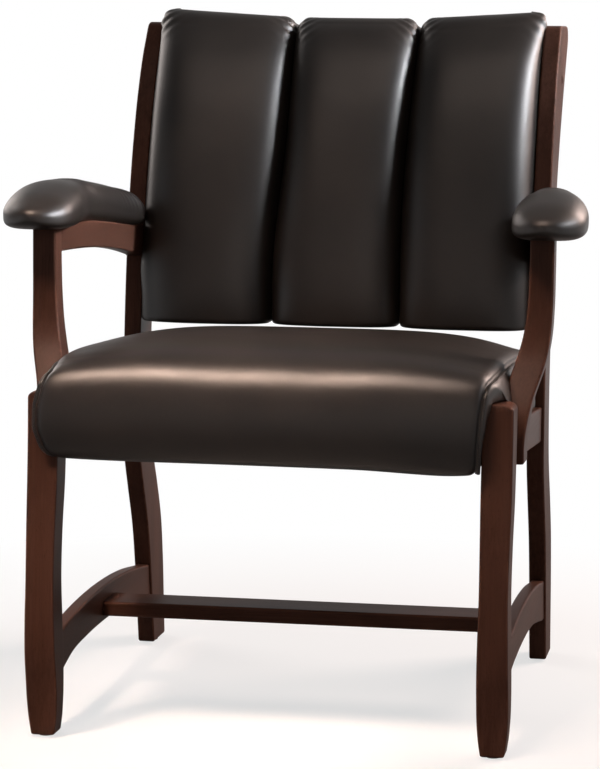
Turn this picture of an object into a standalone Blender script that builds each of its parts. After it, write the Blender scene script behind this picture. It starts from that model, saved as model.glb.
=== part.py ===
"""Client chair with a channelled back, padded arms and raked back posts.

Metres, +Z up. The chair faces -Y, and +X is on the right of someone who looks at its
front. It is modelled with Y = 0 near the front of the front legs and is then stood with
its bottom centre at the origin. Right-hand pieces are modelled, and left-hand ones are
their mirror images.
"""
import math

import bmesh
import bpy
import numpy as np
from mathutils import Matrix, Vector

# Fits shared by all pieces
FIT = 0.0003
CUT_OVERRUN = 0.006
JOIN_OVERLAP = 0.004
EDGE_EASE = 0.0025
SOFT_GAP = 0.0010

# Glides
GLIDE_HEIGHT = 0.003
GLIDE_RADIUS = 0.009
GLIDE_NAIL_RADIUS = 0.0012
GLIDE_NAIL_LENGTH = 0.012
FOOT_HEIGHT = GLIDE_HEIGHT + FIT

# Rear posts: leg and back post in one board
POST_HALF = 0.2966
POST_THICKNESS = 0.024
POST_TOP = 0.8975
POST_FRONT = 0.5025
POST_SPLAY = 0.1025
POST_RAKE = 0.162
POST_DEPTH = 0.074
POST_FRONT_ROUND = 0.024
POST_REAR_ROUND = 0.018
POST_STEPS = 22
POST_INNER = POST_HALF - POST_THICKNESS
POST_CENTRE = POST_HALF - POST_THICKNESS / 2
# Height, splay of the foot, rake of the back, depth
POST_SHAPE_SHARES = (
    (0.000, 1.00, 0.00, 0.97),
    (0.061, 0.88, 0.00, 1.05),
    (0.136, 0.74, 0.00, 1.13),
    (0.206, 0.55, 0.00, 1.19),
    (0.267, 0.28, 0.00, 1.19),
    (0.323, 0.05, 0.00, 1.11),
    (0.390, 0.00, 0.00, 1.00),
    (0.516, 0.00, 0.02, 0.985),
    (0.640, 0.00, 0.10, 1.08),
    (0.741, 0.00, 0.21, 1.22),
    (0.819, 0.00, 0.345, 1.42),
    (0.897, 0.00, 0.53, 1.66),
    (0.958, 0.00, 0.735, 1.80),
    (1.000, 0.00, 0.93, 1.80),
)

# Front legs
LEG_PROUD = 0.0064
LEG_HALF = POST_HALF + LEG_PROUD
LEG_WIDTH = 0.0385
LEG_DEPTH = 0.046
LEG_FRONT = -0.0112
LEG_TOP = 0.4390
LEG_BOW = 0.0178
LEG_DOME = 0.0085
LEG_TAPER = 0.0045
LEG_INNER = LEG_HALF - LEG_WIDTH
LEG_CENTRE = LEG_HALF - LEG_WIDTH / 2
# Height, set-back of the front face, depth, taper of the sides
LEG_SHAPE_SHARES = (
    (0.000, 1.00, 0.81, 1.00),
    (0.040, 0.93, 0.80, 0.42),
    (0.100, 0.80, 0.80, -0.04),
    (0.165, 0.55, 0.90, -0.13),
    (0.250, 0.13, 1.03, -0.06),
    (0.330, 0.00, 1.05, 0.06),
    (0.460, 0.05, 0.99, 0.28),
    (0.600, 0.33, 0.97, 0.20),
    (0.740, 0.78, 1.00, 0.00),
    (0.870, 0.95, 1.07, 0.00),
    (1.000, 1.00, 1.12, 0.00),
)
# Height below the top, inset of the sides
LEG_DOME_SHARES = ((1.00, 0.00), (0.50, 0.40), (0.17, 0.95), (0.00, 1.60))

# Seat frame, which leans back
SEAT_TILT = math.radians(3.9)
SEAT_RAIL_BOTTOM = 0.3590
SEAT_RAIL_HEIGHT = 0.048
SIDE_RAIL_THICKNESS = 0.020
SIDE_RAIL_REVEAL = 0.004
CROSS_RAIL_THICKNESS = 0.022
FRONT_RAIL_SETBACK = 0.0140
REAR_RAIL_SETBACK = 0.0175
RAIL_TENON_THICKNESS = 0.010
RAIL_TENON_LOW = 0.005
RAIL_TENON_SHOULDER = 0.017
RAIL_TENON_HEIGHT = SEAT_RAIL_HEIGHT - RAIL_TENON_LOW - RAIL_TENON_SHOULDER
SIDE_TENON_DEPTH = 0.022
FRONT_TENON_DEPTH = 0.010
REAR_TENON_DEPTH = 0.014
BLOCK_REACH = 0.056
BLOCK_END = 0.010
BLOCK_DROP = 0.018
BLOCK_HEIGHT = SEAT_RAIL_HEIGHT - BLOCK_DROP
DECK_THICKNESS = 0.012
DECK_INSET = 0.010
DUST_COVER_THICKNESS = 0.0012
DUST_COVER_MARGIN = 0.006
RAIL_OUTER = POST_HALF - SIDE_RAIL_REVEAL
RAIL_INNER = RAIL_OUTER - SIDE_RAIL_THICKNESS
RAIL_CENTRE = RAIL_OUTER - SIDE_RAIL_THICKNESS / 2

# Stretchers
STRETCHER_THICKNESS = 0.018
STRETCHER_END_TOP = 0.1190
STRETCHER_TOP_RISE = 0.0205
STRETCHER_END_BOTTOM = 0.0620
STRETCHER_BOTTOM_RISE = 0.0300
STRETCHER_STEPS = 14
STRETCHER_TENON_THICKNESS = 0.010
STRETCHER_TENON_HEIGHT = 0.030
STRETCHER_TENON_DEPTH = 0.018
CROSS_CENTRE_Y = 0.332
CROSS_BREADTH = 0.070
CROSS_THICKNESS = 0.020
CROSS_BOTTOM = 0.100
CROSS_TENON_BREADTH = 0.046
CROSS_TENON_THICKNESS = 0.009
CROSS_TENON_DEPTH = 0.011
# Distance from the leg to the post, rise of the edge
STRETCHER_TOP_SHARES = ((0.0, 0.00), (0.18, 0.60), (0.48, 1.00), (0.78, 0.74), (1.0, 0.10))
STRETCHER_BOTTOM_SHARES = (
    (0.0, -0.02), (0.063, 0.26), (0.165, 0.72), (0.316, 0.94), (0.446, 1.00),
    (0.56, 0.98), (0.70, 0.83), (0.84, 0.48), (1.0, 0.00),
)

# Arm supports, sawn to an S in two directions and notched over the side rail
SUPPORT_BOTTOM = 0.3560
SUPPORT_TOP = 0.6300
SUPPORT_LAP = 0.0160
SUPPORT_FLARE = 0.0266
SUPPORT_FRONT = 0.0835
SUPPORT_SWEEP = 0.070
SUPPORT_WIDTH = 0.0305
SUPPORT_SHOULDER = 0.008
SUPPORT_DEPTH = 0.034
SUPPORT_FOOT_SPREAD = 0.010
# Height, flare outwards, sweep back, extra width of the shoulder, extra depth of the foot
SUPPORT_SHAPE_SHARES = (
    (0.000, 0.00, 0.00, 0.12, 1.00),
    (0.106, 0.01, 0.00, 0.20, 1.00),
    (0.169, 0.08, 0.03, 0.48, 0.95),
    (0.244, 0.20, 0.14, 0.84, 0.80),
    (0.309, 0.34, 0.30, 0.99, 0.65),
    (0.364, 0.50, 0.49, 0.95, 0.50),
    (0.422, 0.72, 0.70, 0.95, 0.35),
    (0.489, 0.85, 0.82, 0.78, 0.25),
    (0.551, 0.92, 0.91, 0.55, 0.15),
    (0.686, 0.985, 0.98, 0.20, 0.05),
    (0.845, 1.00, 1.00, 0.05, 0.00),
    (1.000, 1.00, 1.00, 0.00, 0.00),
)

# Arm rails, between the supports and the posts
ARM_RAIL_THICKNESS = 0.024
ARM_RAIL_TOP = 0.6320
ARM_RAIL_FALL = 0.0160
ARM_RAIL_CROWN = 0.0110
ARM_RAIL_HEIGHT = 0.0325
ARM_RAIL_TAIL = 0.0120
ARM_RAIL_STEPS = 14
ARM_TENON_THICKNESS = 0.010
ARM_TENON_HEIGHT = 0.020
ARM_TENON_DEPTH = 0.014
ARM_TENON_DROP = 0.006

# Arm pads
PAD_FRONT = 0.105
PAD_BACK = 0.511
PAD_BOARD_THICKNESS = 0.008
PAD_BOARD_INSET = 0.013
PAD_OVERLAP = 0.0015
PAD_HALF = 0.0475
PAD_HEIGHT = 0.0620
PAD_DRAW_IN = 0.16
PAD_OFFSET = 0.045
# Length, offset of the centre line, half width, height
PAD_SHAPE_SHARES = (
    (0.00, 0.98, 0.66, 0.44),
    (0.08, 1.00, 0.90, 0.68),
    (0.20, 1.00, 1.00, 0.92),
    (0.36, 0.91, 0.82, 0.95),
    (0.54, 0.71, 0.64, 0.89),
    (0.74, 0.43, 0.54, 0.84),
    (0.91, 0.155, 0.51, 0.74),
    (1.00, 0.04, 0.46, 0.60),
)
PAD_TOP_SHARES = ((0.0, 1.07), (0.5, 1.00), (1.0, 0.74))

# Seat cushion
CUSHION_INSET = 0.0021
CUSHION_HALF = POST_HALF - CUSHION_INSET
CUSHION_FRONT = -0.0140
CUSHION_LENGTH = 0.5540
CUSHION_NOSE = 0.0115
CUSHION_TOP = 0.5010
CUSHION_FALL = 0.0370
CUSHION_ROLL = 0.1465
CUSHION_CROWN = 0.0315
CUSHION_SINK = 0.0040
CUSHION_LAYERS = 3
CUSHION_ROWS = 8
# Row by row from the front: depth, half width, fall of the top, height of the underside
CUSHION_SHAPE_SHARES = (
    (0.000, 0.915, 0.50, 0.03),
    (0.036, 0.955, 0.11, 0.00),
    (0.088, 0.980, 0.06, 0.01),
    (0.188, 1.000, 0.06, 1.00),
    (0.350, 0.998, 0.11, 1.00),
    (0.531, 0.993, 0.21, 1.00),
    (0.711, 0.993, 0.38, 1.00),
    (0.874, 0.996, 0.68, 1.00),
    (1.000, 0.978, 1.08, 1.00),
)
# Layer by layer from the underside: draw-in of the front roll's ends, swell of its nose
CUSHION_ROLL_SHARES = ((0.0, 1.00, -0.35), (1 / 3, 0.22, 0.90), (2 / 3, 0.00, 1.00), (1.0, 0.15, 0.00))
CUSHION_ROLL_DRAW_IN = 0.0120

# Back
BACK_BOTTOM = 0.4830
BACK_RISE = 0.0195
BACK_TOP = POST_TOP + BACK_RISE
BACK_MIDDLE_DROP = 0.0110
BACK_INNER_DROP = 0.0100
BACK_FLARE = 0.0135
BACK_SIDE_GAP = 0.0008
BACK_BULGE = 0.046
BACK_VALLEY = 0.012
CHANNEL_GAP = 0.0008
BACK_BOARD_THICKNESS = 0.010
BACK_BOARD_MARGIN = 0.010
BACK_RAIL_THICKNESS = 0.022
BACK_RAIL_HEIGHT = 0.050
BACK_UPPER_RAIL_DROP = 0.0755
BACK_LOWER_RAIL_LIFT = 0.047
BACK_UPPER_RAIL_Z = POST_TOP - BACK_UPPER_RAIL_DROP
BACK_LOWER_RAIL_Z = BACK_BOTTOM + BACK_LOWER_RAIL_LIFT
BACK_COVER_THICKNESS = 0.005
BACK_STEPS = 14
BACK_BOARD_DEPTH_SHARE = 0.45

# Screws, bolts and plugs
SCREW_SIDES = 12
SHANK_RADIUS = 0.0024
HEAD_RADIUS = 0.0046
HEAD_HEIGHT = 0.0030
BACK_SCREW_LENGTH = 0.058
COUNTERBORE_DEPTH = 0.0120
PLUG_RADIUS = 0.0062
PLUG_DEPTH = 0.0060
PLUG_DOME = 0.0018
SUPPORT_SCREW_LENGTH = 0.0300
SUPPORT_SCREW_RISE_SHARE = 0.625
SUPPORT_SCREW_SPACING_SHARE = 0.396
BOLT_RADIUS = 0.0030
BOLT_HEAD_RADIUS = 0.0062
BOLT_HEAD_HEIGHT = 0.0045
BOLT_LEG_DEPTH = 0.014
BOLT_RISE = 0.0055
DECK_SCREW_BITE = 0.0080
DECK_SCREW_INSET = 0.0120
DECK_SCREW_REACH = 0.72
SCREW_SLACK = 0.0003

# Colours, as linear red, green and blue, with roughness and metallic value
FINISHES = {
    "cherry_wood": ((0.085, 0.028, 0.018), 0.38, 0.0),
    "black_leather": ((0.016, 0.013, 0.012), 0.36, 0.0),
    "plywood": ((0.42, 0.29, 0.17), 0.70, 0.0),
    "black_cambric": ((0.012, 0.012, 0.013), 0.90, 0.0),
    "zinc_steel": ((0.55, 0.56, 0.57), 0.35, 1.0),
    "glide_nylon": ((0.10, 0.075, 0.06), 0.55, 0.0),
}

PARTS = "client_chair"
CUTTERS = "cutters"


def clear_scene():
    """Remove every object, so the build starts from nothing."""
    for item in list(bpy.data.objects):
        bpy.data.objects.remove(item, do_unlink=True)


def make_collection(name):
    """Link a new collection into the scene."""
    collection = bpy.data.collections.new(name)
    bpy.context.scene.collection.children.link(collection)
    return collection


def make_materials():
    """One Principled material for each finish."""
    for name, (colour, roughness, metallic) in FINISHES.items():
        material = bpy.data.materials.new(name)
        material.use_nodes = True
        shader = material.node_tree.nodes["Principled BSDF"]
        shader.inputs["Base Color"].default_value = (*colour, 1)
        shader.inputs["Roughness"].default_value = roughness
        shader.inputs["Metallic"].default_value = metallic
        material.diffuse_color = (*colour, 1)


def add_object(name, mesh, finish, parent=None):
    """Link a mesh as a part, or as a cutter where it has no finish."""
    item = bpy.data.objects.new(name, mesh)
    if finish:
        bpy.data.collections[PARTS].objects.link(item)
        mesh.materials.append(bpy.data.materials[finish])
    else:
        bpy.data.collections[CUTTERS].objects.link(item)
        item.hide_render = True
        item.display_type = "WIRE"
    item.parent = parent
    return item


def mesh_from(bm, name):
    """Turn a bmesh into a mesh with its faces pointing out."""
    bmesh.ops.recalc_face_normals(bm, faces=bm.faces)
    mesh = bpy.data.meshes.new(name)
    bm.to_mesh(mesh)
    bm.free()
    return mesh


def smooth_value(table, column, share):
    """Read a column of a shape table at a share of its length, on a smooth curve."""
    stations = np.array([row[0] for row in table])
    values = np.array([row[column] for row in table])
    slopes = np.gradient(values, stations)
    share = float(np.clip(share, stations[0], stations[-1]))
    low = int(np.clip(np.searchsorted(stations, share) - 1, 0, len(stations) - 2))
    span = stations[low + 1] - stations[low]
    t = (share - stations[low]) / span
    rise = (
        (2 * t**3 - 3 * t**2 + 1) * values[low]
        + (t**3 - 2 * t**2 + t) * span * slopes[low]
        + (3 * t**2 - 2 * t**3) * values[low + 1]
        + (t**3 - t**2) * span * slopes[low + 1]
    )
    return float(rise)


def rounded(points, corners, steps=5):
    """Replace the corners at the given places of an outline with arcs of given radii."""
    out = []
    for place, point in enumerate(points):
        if place not in corners:
            out.append(point)
            continue
        corner = Vector(point)
        before = Vector(points[place - 1]) - corner
        after = Vector(points[(place + 1) % len(points)]) - corner
        half_angle = before.angle(after) / 2
        radius = corners[place]
        reach = radius / math.tan(half_angle)
        start = corner + before.normalized() * reach
        end = corner + after.normalized() * reach
        inward = (before.normalized() + after.normalized()).normalized()
        middle = corner + inward * (radius / math.sin(half_angle))
        turn = math.pi - 2 * half_angle
        spin = 1 if before.cross(after) < 0 else -1
        for step in range(steps + 1):
            arm = start - middle
            arm.rotate(Matrix.Rotation(spin * turn * step / steps, 2))
            out.append(tuple(middle + arm))
        assert (Vector(out[-1]) - end).length < radius
    return out


PLANES = {
    "side": Matrix(((0, 0, 1), (1, 0, 0), (0, 1, 0))).to_4x4(),
    "front": Matrix(((1, 0, 0), (0, 0, -1), (0, 1, 0))).to_4x4(),
    "plan": Matrix.Identity(4),
}


def sawn_board(name, outline, thickness, plane, across, finish, ease=EDGE_EASE, parent=None):
    """Saw a flat outline out of a board: a filled 2D curve, extruded, then eased.

    The outline is (Y, Z) in the side plane, (X, Z) in the front plane and (X, Y) in the
    plan plane. across is where the middle of the thickness lies on the third axis.
    """
    curve = bpy.data.curves.new(name, "CURVE")
    curve.dimensions = "2D"
    curve.fill_mode = "BOTH"
    curve.extrude = thickness / 2
    spline = curve.splines.new("POLY")
    spline.points.add(len(outline) - 1)
    for point, (u, v) in zip(spline.points, outline):
        point.co = (u, v, 0, 1)
    spline.use_cyclic_u = True
    sheet = bpy.data.objects.new(name + "_outline", curve)
    bpy.data.collections[CUTTERS].objects.link(sheet)
    sheet.matrix_world = PLANES[plane] @ Matrix.Translation((0, 0, -across if plane == "front" else across))
    bpy.context.view_layer.update()
    mesh = bpy.data.meshes.new_from_object(sheet.evaluated_get(bpy.context.evaluated_depsgraph_get()))
    mesh.transform(sheet.matrix_world)
    bpy.data.objects.remove(sheet, do_unlink=True)
    bm = bmesh.new()
    bm.from_mesh(mesh)
    bpy.data.meshes.remove(mesh)
    bmesh.ops.remove_doubles(bm, verts=bm.verts, dist=FIT / 10)
    bmesh.ops.dissolve_limit(bm, angle_limit=math.radians(0.4), verts=bm.verts, edges=bm.edges)
    item = add_object(name, mesh_from(bm, name), finish, parent)
    if finish and ease:
        soften_edges(item, ease)
    return item


def soften_edges(item, width, segments=1, limit=50):
    """Ease the sharp edges of a wooden piece."""
    bevel = item.modifiers.new("eased_edges", "BEVEL")
    bevel.width = width
    bevel.segments = segments
    bevel.limit_method = "ANGLE"
    bevel.angle_limit = math.radians(limit)
    return bevel


def box(name, low, high, finish=None, ease=0, parent=None):
    """A block between two corners."""
    low, high = Vector(low), Vector(high)
    bm = bmesh.new()
    bmesh.ops.create_cube(bm, size=1, matrix=Matrix.Diagonal((*(high - low), 1)))
    item = add_object(name, mesh_from(bm, name), finish, parent)
    item.location = (low + high) / 2
    if finish and ease:
        soften_edges(item, ease)
    return item


def loft(name, rings, finish, ease=0):
    """Skin a bar over closed rings of corners, from the bottom ring to the top one."""
    bm = bmesh.new()
    rows = [[bm.verts.new(corner) for corner in ring] for ring in rings]
    for lower, upper in zip(rows, rows[1:]):
        for place in range(len(lower)):
            after = (place + 1) % len(lower)
            bm.faces.new((lower[place], lower[after], upper[after], upper[place]))
    bm.faces.new(rows[0][::-1])
    bm.faces.new(rows[-1])
    item = add_object(name, mesh_from(bm, name), finish)
    if finish and ease:
        soften_edges(item, ease)
    return item


def rectangle(x0, x1, y0, y1, z):
    """A level ring of four corners."""
    return [(x0, y0, z), (x1, y0, z), (x1, y1, z), (x0, y1, z)]


def eased_ring(x0, x1, y0, y1, z):
    """A level ring of a rectangle whose four corners are eased."""
    ease = EDGE_EASE
    return [
        (x0 + ease, y0, z), (x1 - ease, y0, z), (x1, y0 + ease, z), (x1, y1 - ease, z),
        (x1 - ease, y1, z), (x0 + ease, y1, z), (x0, y1 - ease, z), (x0, y0 + ease, z),
    ]


def turned(name, profile, finish, place, direction, sides=SCREW_SIDES, parent=None):
    """Turn a profile of (radius, height) points, top to bottom, about its own axis."""
    mesh = bpy.data.meshes.new(name)
    points = [(radius, 0, height) for radius, height in profile]
    mesh.from_pydata(points, [(i, i + 1) for i in range(len(points) - 1)], [])
    item = add_object(name, mesh, finish, parent)
    screw = item.modifiers.new("turned", "SCREW")
    screw.steps = sides
    screw.render_steps = sides
    screw.use_merge_vertices = True
    screw.merge_threshold = FIT / 10
    screw.use_smooth_shade = True
    item.rotation_mode = "QUATERNION"
    item.rotation_quaternion = Vector(direction).to_track_quat("Z", "Y")
    item.location = place
    return item


def bore(name, radius, start, direction, length, parent=None):
    """A cutter for a round hole that runs from a start point along a direction."""
    profile = [(0, length), (radius, length), (radius, 0), (0, 0)]
    return turned(name, profile, None, start, direction, parent=parent)


def screw_profile(length, radius=SHANK_RADIUS, head_radius=HEAD_RADIUS, head_height=HEAD_HEIGHT):
    """A pan-headed screw: the head sits above zero and the shank runs below it."""
    return [
        (0, head_height),
        (head_radius * 3 / 4, head_height),
        (head_radius, head_height / 2),
        (head_radius, 0),
        (radius, 0),
        (radius, -length + radius * 2),
        (0, -length),
    ]


def combine(target, operation, tools):
    """Add exact Boolean modifiers."""
    for tool in tools:
        boolean = target.modifiers.new(tool.name, "BOOLEAN")
        boolean.operation = operation
        boolean.solver = "EXACT"
        boolean.object = tool


def cut(target, *tools):
    """Cut the tools out of the target."""
    combine(target, "DIFFERENCE", tools)


def join(target, *tools):
    """Join the tools to the target."""
    combine(target, "UNION", tools)


def mirror_across(item):
    """Keep the right-hand half of a middle piece and mirror it."""
    mirror = item.modifiers.new("halves", "MIRROR")
    mirror.use_bisect_axis[0] = True
    mirror.use_clip = True
    mirror.merge_threshold = FIT / 10
    mirror.mirror_object = bpy.data.objects["chair"]
    return mirror


def subdivided(item, levels=1):
    """Round a soft form's cage."""
    surface = item.modifiers.new("rounded", "SUBSURF")
    surface.levels = levels
    surface.render_levels = levels
    for face in item.data.polygons:
        face.use_smooth = True


def soft_block(name, counts, shape, finish):
    """A soft form: a divided cube whose points a shape function places, then rounded."""
    bm = bmesh.new()
    bmesh.ops.create_cube(bm, size=2)
    for axis, count in enumerate(counts):
        along = [e for e in bm.edges if abs((e.verts[1].co - e.verts[0].co)[axis]) > 1]
        if count > 1:
            bmesh.ops.subdivide_edges(bm, edges=along, cuts=count - 1)
    for vert in bm.verts:
        vert.co = Vector(shape(*vert.co))
    item = add_object(name, mesh_from(bm, name), finish)
    subdivided(item)
    return item


def post_front(z):
    """Y of the post's front edge at a height."""
    share = z / POST_TOP
    splay = smooth_value(POST_SHAPE_SHARES, 1, share)
    rake = smooth_value(POST_SHAPE_SHARES, 2, share)
    past_top = max(share - 1, 0) * (POST_TOP / 2)
    return POST_FRONT + POST_SPLAY * splay + POST_RAKE * rake + past_top


def post_depth(z):
    """Depth of the post at a height."""
    return POST_DEPTH * smooth_value(POST_SHAPE_SHARES, 3, z / POST_TOP)


def post_outline(grow=0.0):
    """Side outline of a rear post, grown all round by a clearance."""
    heights = np.linspace(FOOT_HEIGHT - grow, POST_TOP + grow, POST_STEPS)
    front = [(post_front(z) - grow, z) for z in heights]
    rear = [(post_front(z) + post_depth(z) + grow, z) for z in heights[::-1]]
    corners = {POST_STEPS - 1: POST_FRONT_ROUND, POST_STEPS: POST_REAR_ROUND}
    return rounded(front + rear, corners)


def leg_front(z):
    """Y of the front leg's front face at a height."""
    return LEG_FRONT + LEG_BOW * smooth_value(LEG_SHAPE_SHARES, 1, z / LEG_TOP)


def leg_rear(z):
    """Y of the front leg's rear face at a height."""
    return leg_front(z) + LEG_DEPTH * smooth_value(LEG_SHAPE_SHARES, 2, z / LEG_TOP)


def leg_rings(grow=0.0):
    """Rings of a front leg from the foot to the domed top, grown by a clearance."""
    rings = []
    shoulder = LEG_TOP - LEG_DOME
    for row in LEG_SHAPE_SHARES:
        z = FOOT_HEIGHT + (shoulder - FOOT_HEIGHT) * row[0]
        taper = LEG_TAPER * row[3]
        rings.append((LEG_INNER + taper, LEG_HALF - taper, leg_front(z), leg_rear(z), z))
    for drop, inset in LEG_DOME_SHARES[1:]:
        z = LEG_TOP - LEG_DOME * drop
        side = LEG_DOME * inset
        rings.append((LEG_INNER + side, LEG_HALF - side, leg_front(z), leg_rear(z), z))
    first, last = rings[0], rings[-1]
    rings[0] = (*first[:4], first[4] - grow)
    rings[-1] = (*last[:4], last[4] + grow)
    return [eased_ring(x0 - grow, x1 + grow, y0 - grow, y1 + grow, z) for x0, x1, y0, y1, z in rings]


def support_section(z):
    """Inner X, outer X, front Y and rear Y of an arm support at a height."""
    share = (z - SUPPORT_BOTTOM) / (SUPPORT_TOP - SUPPORT_BOTTOM)
    flare, sweep, shoulder, foot = (smooth_value(SUPPORT_SHAPE_SHARES, c, share) for c in (1, 2, 3, 4))
    outer = RAIL_OUTER + FIT + SUPPORT_LAP + SUPPORT_FLARE * flare
    inner = outer - SUPPORT_WIDTH - SUPPORT_SHOULDER * shoulder
    front = SUPPORT_FRONT + SUPPORT_SWEEP * sweep
    return inner, outer, front, front + SUPPORT_DEPTH + SUPPORT_FOOT_SPREAD * foot


def support_rings(grow=0.0, above=0.0):
    """Rings of an arm support, from its foot to its top and a little above it."""
    rings = []
    for row in SUPPORT_SHAPE_SHARES:
        z = SUPPORT_BOTTOM + (SUPPORT_TOP - SUPPORT_BOTTOM) * row[0]
        inner, outer, front, rear = support_section(z)
        rings.append([inner - grow, outer + grow, front - grow, rear + grow, z])
    rings[0][4] -= grow
    rings[-1][4] += grow + above
    return [rectangle(*ring) for ring in rings]


def build_root():
    """The empties that carry the chair and its leaning seat frame."""
    chair = bpy.data.objects.new("chair", None)
    frame = bpy.data.objects.new("seat_frame", None)
    for empty in (chair, frame):
        bpy.data.collections[PARTS].objects.link(empty)
    frame.parent = chair
    frame.location = (0, leg_rear(SEAT_RAIL_BOTTOM), SEAT_RAIL_BOTTOM)
    frame.rotation_euler = (-SEAT_TILT, 0, 0)
    return chair, frame


def build_posts_and_legs():
    """Right-hand rear post and front leg, with the solids that others are scribed to."""
    post = sawn_board("rear_post_right", post_outline(), POST_THICKNESS, "side", POST_CENTRE, "cherry_wood")
    leg = loft("front_leg_right", leg_rings(), "cherry_wood")
    post_space = sawn_board(
        "post_space", post_outline(FIT), POST_THICKNESS + 2 * FIT, "side", POST_CENTRE, None
    )
    leg_space = loft("leg_space", leg_rings(FIT), None)
    return post, leg, post_space, leg_space


def tenon(name, low, high, parent):
    """A tenon and the cutter for its mortise, as two helpers."""
    low, high = Vector(low), Vector(high)
    margin = Vector((FIT, FIT, FIT))
    tongue = box(name + "_tongue", low, high, parent=parent)
    socket = box(name + "_mortise", low - margin, high + margin, parent=parent)
    return tongue, socket


def build_seat_frame(frame, post, leg, post_space, leg_space):
    """Side, front and rear rails, with their tenons in the legs and posts."""
    run = (POST_FRONT - leg_rear(SEAT_RAIL_BOTTOM)) / math.cos(SEAT_TILT)
    height = SEAT_RAIL_HEIGHT
    side_rail = box(
        "seat_side_rail_right",
        (RAIL_INNER, -LEG_DEPTH / 2, 0),
        (RAIL_OUTER, run + POST_DEPTH / 2, height),
        "cherry_wood", EDGE_EASE, frame,
    )
    cut(side_rail, leg_space, post_space)
    low_w = RAIL_TENON_LOW
    high_w = low_w + RAIL_TENON_HEIGHT
    x0 = RAIL_CENTRE - RAIL_TENON_THICKNESS / 2
    x1 = RAIL_CENTRE + RAIL_TENON_THICKNESS / 2
    front_tongue, front_socket = tenon(
        "side_front", (x0, -SIDE_TENON_DEPTH, low_w), (x1, JOIN_OVERLAP, high_w), frame)
    rear_tongue, rear_socket = tenon(
        "side_rear", (x0, run - JOIN_OVERLAP, low_w), (x1, run + SIDE_TENON_DEPTH, high_w), frame)
    join(side_rail, front_tongue, rear_tongue)
    cut(leg, front_socket)
    cut(post, rear_socket)

    front_v = front_rail_place()
    front_rail = box(
        "seat_front_rail",
        (-LEG_INNER + FIT, front_v, 0),
        (LEG_INNER - FIT, front_v + CROSS_RAIL_THICKNESS, height),
        "cherry_wood", EDGE_EASE, frame,
    )
    rear_v = rear_rail_place(run)
    rear_rail = box(
        "seat_rear_rail",
        (-POST_INNER + FIT, rear_v, 0),
        (POST_INNER - FIT, rear_v + CROSS_RAIL_THICKNESS, height),
        "cherry_wood", EDGE_EASE, frame,
    )
    inset = (CROSS_RAIL_THICKNESS - RAIL_TENON_THICKNESS) / 2
    for rail, target, edge, depth, place in (
        (front_rail, leg, LEG_INNER, FRONT_TENON_DEPTH, front_v),
        (rear_rail, post, POST_INNER, REAR_TENON_DEPTH, rear_v),
    ):
        v0, v1 = place + inset, place + inset + RAIL_TENON_THICKNESS
        tongue, socket = tenon(
            rail.name, (edge - JOIN_OVERLAP, v0, low_w), (edge + depth, v1, high_w), frame)
        join(rail, tongue)
        cut(target, socket)
        mirror_across(rail)
    return side_rail, run


def front_rail_place():
    """Where the front rail's front face lies in the seat frame."""
    return FRONT_RAIL_SETBACK - LEG_DEPTH


def rear_rail_place(run):
    """Where the rear rail's front face lies in the seat frame."""
    return run + REAR_RAIL_SETBACK


def block_outline(corner_v, turn):
    """Plan of a corner block: two arms along the rails and a slanted face between them.

    turn is +1 where the block reaches back from its corner and -1 where it reaches forward.
    """
    x = RAIL_INNER - FIT
    v = corner_v + turn * FIT
    return [
        (x, v),
        (x, v + turn * BLOCK_REACH),
        (x - BLOCK_END, v + turn * BLOCK_REACH),
        (x - BLOCK_REACH, v + turn * BLOCK_END),
        (x - BLOCK_REACH, v),
    ]


def build_corner_blocks(frame, run, leg, post, leg_space, post_space):
    """Corner blocks, each with a bolt into its leg or post and a screw into the deck."""
    front_v = front_rail_place() + CROSS_RAIL_THICKNESS
    rear_v = rear_rail_place(run)
    base = SEAT_RAIL_HEIGHT - FIT - BLOCK_HEIGHT
    middle_level = base + BLOCK_HEIGHT / 2
    level = RAIL_TENON_LOW + RAIL_TENON_HEIGHT + BOLT_RISE
    deck_holes = []
    places = (
        ("front", front_v, 1, (LEG_INNER, front_v / 2), leg, leg_space),
        ("rear", rear_v, -1, (POST_INNER, rear_v - REAR_RAIL_SETBACK / 2), post, post_space),
    )
    for side, corner_v, turn, aim, target, space in places:
        outline = block_outline(corner_v, turn)
        block = sawn_board(
            "corner_block_" + side + "_right", outline, BLOCK_HEIGHT, "plan", middle_level,
            "plywood", 0, frame)
        aim = Vector((*aim, level))
        middle = Vector((*((Vector(outline[2]) + Vector(outline[3])) / 2), level))
        along = Vector((1, turn, 0)).normalized()
        inward = Vector((1, -turn, 0)).normalized()
        seat = middle + along * (aim - middle).dot(along)
        length = (aim - seat).length + BOLT_LEG_DEPTH
        turned(
            "block_bolt_" + side + "_right",
            screw_profile(length, BOLT_RADIUS, BOLT_HEAD_RADIUS, BOLT_HEAD_HEIGHT), "zinc_steel",
            seat - inward * FIT, -inward, parent=frame)
        hole = bore(
            "bolt_hole_" + side, BOLT_RADIUS + SCREW_SLACK,
            seat - inward * CUT_OVERRUN, inward, length + CUT_OVERRUN + FIT, frame)
        cut(block, space, hole)
        cut(target, hole)
        foot = Vector((
            RAIL_INNER - DECK_SCREW_INSET, corner_v + turn * DECK_SCREW_REACH * BLOCK_REACH, base - FIT))
        deck_length = BLOCK_HEIGHT + DECK_SCREW_BITE
        turned(
            "deck_screw_" + side + "_right", screw_profile(deck_length), "zinc_steel",
            foot, (0, 0, -1), parent=frame)
        deck_hole = bore(
            "deck_hole_" + side, SHANK_RADIUS + SCREW_SLACK,
            foot - Vector((0, 0, CUT_OVERRUN)), (0, 0, 1), deck_length + CUT_OVERRUN + FIT, frame)
        cut(block, deck_hole)
        deck_holes.append(deck_hole)
    return deck_holes


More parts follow.
